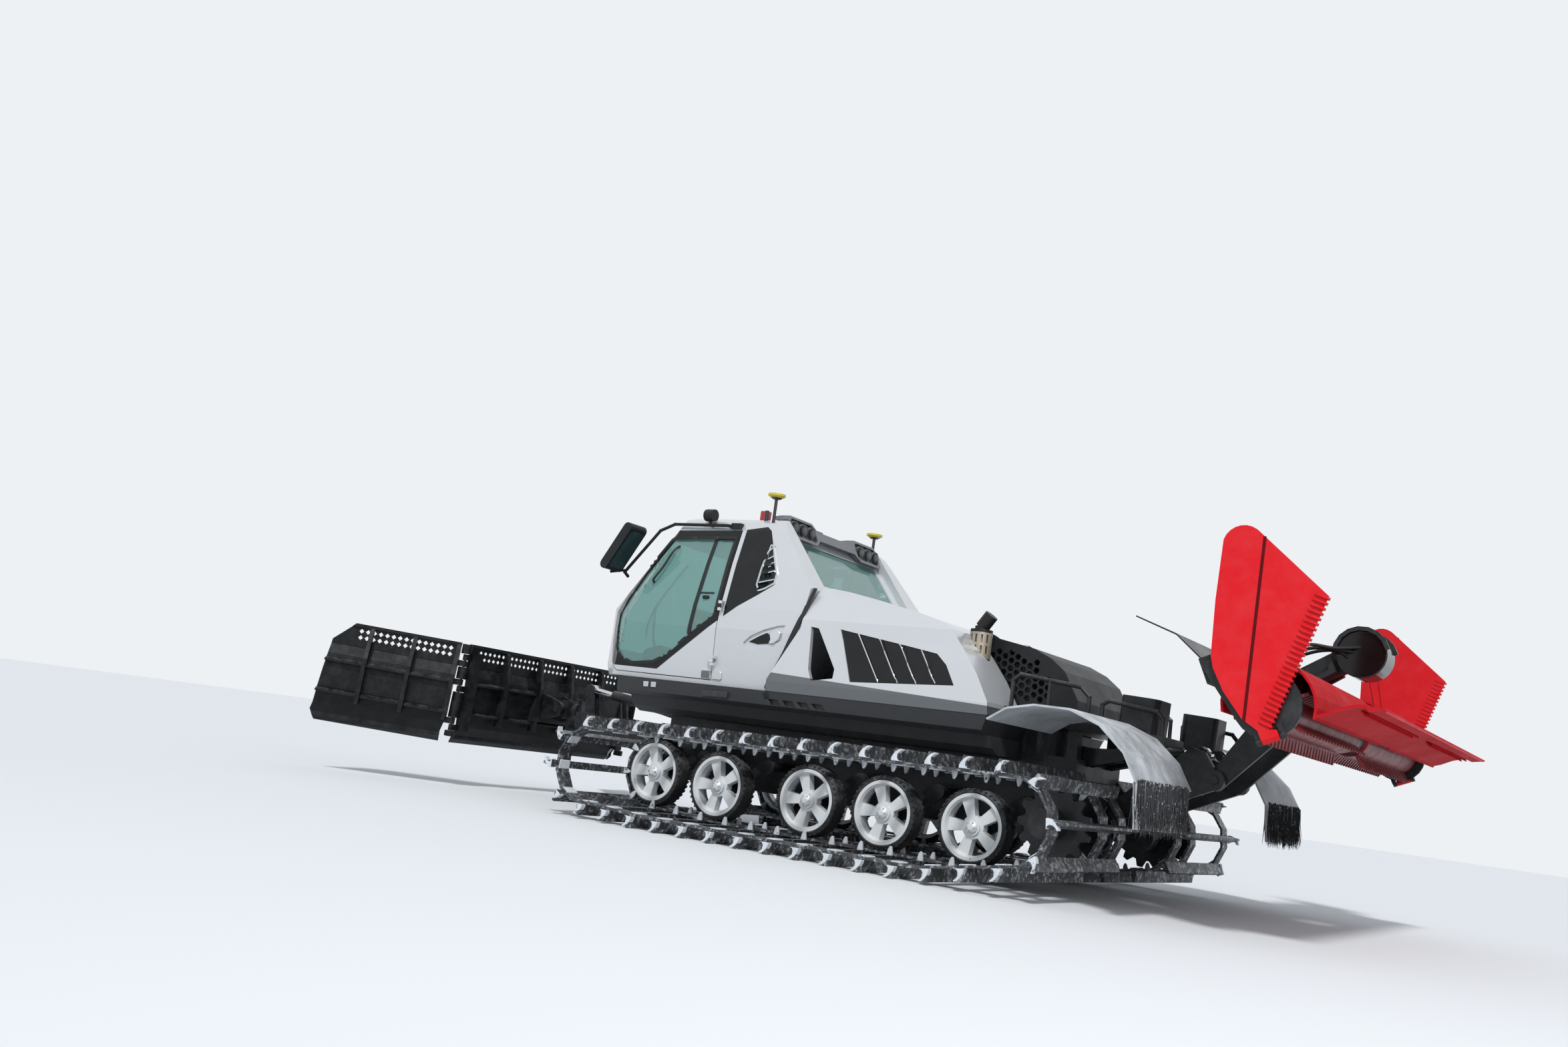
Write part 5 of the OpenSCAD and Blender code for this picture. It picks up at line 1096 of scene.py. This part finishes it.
# %% [markdown]
# ## Windscreen wiper
# One long arm swings from below the windscreen. Its blade is a rubber lip in a thin frame. Rays
# from the front give the glass under it, and a profile is carried along the points that they meet.

# %% Wiper
SCREEN = skin("cab_windows", "cab_shell")


def on_front(stations, lift):
    """Points where rays along -X meet the front at (y, z), lifted along the normal."""
    hits = [SCREEN.ray_cast(Vector((4.0, y, z)), Vector((-1, 0, 0))) for y, z in stations]
    spots = np.array([h[0] for h in hits])
    normals = np.array([h[1] for h in hits])
    normals = normals * np.sign(normals[:, :1])
    return spots + normals * lift, normals


ARM_LINE, ARM_OFF = [(0.05, 1.52), (0.12, 1.75), (0.20, 2.0), (0.24, 2.12)], 0.026
LIP_LINE, LIP_OFF = [(0.24, z) for z in np.linspace(1.74, 2.50, 14)], 0.003
ARM_SECTION = [(-0.006, -0.014), (0.006, -0.010), (0.006, 0.010), (-0.006, 0.014)]
LIP_SECTION = [(0, -0.004), (0.018, -0.009), (0.022, 0.0), (0.018, 0.009), (0, 0.004)]
arm_path, arm_up = on_front(ARM_LINE, ARM_OFF)
lip_path, lip_up = on_front(LIP_LINE, LIP_OFF)
wiper = join([along(arm_path, ARM_SECTION, arm_up), along(lip_path, LIP_SECTION, lip_up)])
piece("Wiper", "machine", wiper, MOULDED_BLACK, ease=0.0015)

# %% [markdown]
# ## Tiller
# The side finishers end in a comb of pressed ribs and are bent along one crease, which is
# marked by a dark red strip of painted shade. The drive's guard is a gloss black drum, and the
# mat ends in a rounded edge that is painted a paler red as a highlight. Bump alone would not show
# on an outline, so the ribs and the edge are meshes. The pieces are drawn in the tiller's own
# plane, as in the CAD source, and turned into the frame by its parked tilt.

# %% Ribs and creases of the finishers
TILT = math.radians(24)
HEAD_PIN = (-3.41012, 1.02)


def in_tiller(points):
    """The tiller's own X and Z in the frame: x cos t + z sin t, -x sin t + z cos t, plus the pin."""
    x, y, z = np.asarray(points, float).T
    c, s = math.cos(TILT), math.sin(TILT)
    return np.stack([x * c + z * s + HEAD_PIN[0], y, -x * s + z * c + HEAD_PIN[1]], 1)


FINISHER_FACE = 2.226
TOOTH_FROM, TOOTH_TO, TEETH = np.array([-1.538, 0.584]), np.array([-0.925, -0.073]), 26
edge = (TOOTH_TO - TOOTH_FROM) / np.linalg.norm(TOOTH_TO - TOOTH_FROM)
inward = np.array([-edge[1], edge[0]])
teeth_at = TOOTH_FROM + (TOOTH_TO - TOOTH_FROM) * ((np.arange(TEETH) + 0.5) / TEETH)[:, None]
# A rib's foot, knee and end up the face, its section, and the height that its end is cut down to.
RIB_LINE, RIB_END = [(0, 0, -0.011), (0, 0, 0.055), (0, 0, 0.078)], 0.008
RIB_SECTION = [(-0.0085, 0.0055), (0.0085, 0.0055), (0.005, 0.0145), (-0.005, 0.0145)]
rib = along(RIB_LINE, RIB_SECTION, (1, 0, 0))
rib[0][:, 1] = np.abs(rib[0][:, 1])
rib[0][-4:, 1] = np.minimum(rib[0][-4:, 1], RIB_END)
origins = np.stack([teeth_at[:, 0], np.full(TEETH, FINISHER_FACE), teeth_at[:, 1]], 1)
ribs = copies(outward(*rib), origins, (edge[0], 0, edge[1]), (0, 1, 0), (inward[0], 0, inward[1]))
ribs = outward(in_tiller(ribs[0]), ribs[1])
CREASE = [(-1.311, 1.085), (-0.792, 0.020)]
crease_path = in_tiller([(x, FINISHER_FACE - 0.001, z) for x, z in dense(CREASE, 0.1)])
crease = along(crease_path, flat_bar(0.020, 0.0025), (0, 1, 0))
# A thin dark red strip along the crease is painted shade where the finisher bends.
CREASE_SHADE = finish("PaintedShadeInTheCrease", "#5C0B11", "#4A090E", mottle_mm=100, rough=(0.5, 0.6),
                    shine=0.1)
for side_name, turn in SIDES:
    body = "finisher_" + side_name
    piece("FinisherRibs_" + side_name, body, turn(ribs), RED_PAINT, ease=0.0015)
    piece("FinisherCreaseShade_" + side_name, body, turn(crease), CREASE_SHADE)

# %% The drive's guard
GUARD_AT, GUARD_R, GUARD_W, SHELL_T = (-1.300, 0.0, 0.590), 0.180, 0.300, 0.002
GUARD_END = [(0.120, -SHELL_T), (0.172, -SHELL_T), (GUARD_R + SHELL_T, 0.008)]
drum_foot = in_tiller([GUARD_AT])[0] - (0, GUARD_W / 2, 0)
drum = lathe(drum_foot, (0, 1, 0), from_both_ends(GUARD_END, GUARD_W), 56)
piece("GuardDrumShell", "tiller", drum, GLOSS_BLACK)

# %% The mat's rounded edge
# The rounded edge is painted a paler red than the mat, as a painted highlight along it.
MAT_EDGE_HIGHLIGHT = finish("PaintedHighlightOnTheMatEdge", "#E0505A", "#D23A45", mottle_mm=200, rough=(0.55, 0.7),
                  shine=0.1)
EDGE_AT, EDGE_R, EDGE_HALF = (-1.578, -0.157), 0.011, 2.080
edge_path = in_tiller([(EDGE_AT[0], y, EDGE_AT[1]) for y in np.linspace(-EDGE_HALF, EDGE_HALF, 12)])
piece("MatEdge", "tiller", along(edge_path, circle(EDGE_R, 14), (1, 0, 0)), MAT_EDGE_HIGHLIGHT)

# %% [markdown]
# ## Hoses
# Hydraulic hoses leave the tiller's beam, loop up and end in the drive's guard. A curve with a
# round bevel would do. A mesh swept along a smooth curve is used instead, as for the other tubes.

# %% Hoses of the tiller's drive
HOSE = finish("RubberHoseWithWrappedCover", "#121314", "#1A1B1D", mottle_mm=30, rough=(0.5, 0.62),
              grain_mm=1.5, grain=0.3, shine=0.35)
HOSE_D = 0.026


def hose(name, knots):
    """A round tube along a smooth curve through points of the tiller's own plane."""
    path = smooth_path(in_tiller(knots), 14)
    tube = piece(name, "tiller", along(path, circle(HOSE_D / 2, 12), (0, 1, 0.02)), HOSE)


HOSE_YS = (0.235, 0.285, 0.335)
for k, y in enumerate(HOSE_YS):
    rise = 0.10 + 0.035 * k
    start_x, end_x, end_z = -0.690 - 0.02 * k, -1.200 - 0.05 * k, 0.600 + 0.02 * k
    hose(f"DriveHose_{k}", [(start_x, y, 0.500), (start_x - 0.010, y, 0.500 + rise),
                            (-0.840, y + 0.01, 0.590 + rise), (-1.010, y - 0.01, 0.640 + 0.6 * rise),
                            (-1.150, 0.6 * y + 0.06, 0.640 + 0.2 * rise),
                            (end_x, 0.150, end_z), (end_x - 0.005, 0.120, end_z)])

# %% [markdown]
# ## Wing hinges
# Between each wing and the middle board, rolls round the hinge pin close the gap. Each is a
# profile with eased ends, turned about the pin's axis, so the wing folds round it without touching.

# %% Rolls round the wings' hinge pins
HINGE_FOOT, BLADE_LEAN = np.array([3.93991, 1.300, 0.45395]), math.radians(3)
HINGE_UP = np.array([-math.sin(BLADE_LEAN), 0.0, math.cos(BLADE_LEAN)])
# Each roll's lower and upper end along the pin, and a roll's end as radius and height.
ROLL_SPANS, ROLL_R = [(0.030, 0.086), (0.219, 0.476), (0.609, 0.731), (0.864, 0.962)], 0.053
ROLL_END = [(0.014, 0.0), (ROLL_R - 0.004, 0.0), (ROLL_R, 0.004)]
rolls = [lathe(HINGE_FOOT + HINGE_UP * low, HINGE_UP, from_both_ends(ROLL_END, high - low), 28)
         for low, high in ROLL_SPANS]
piece("WingHingeRolls", "blade", both(join(rolls)), BLADE_BLACK)
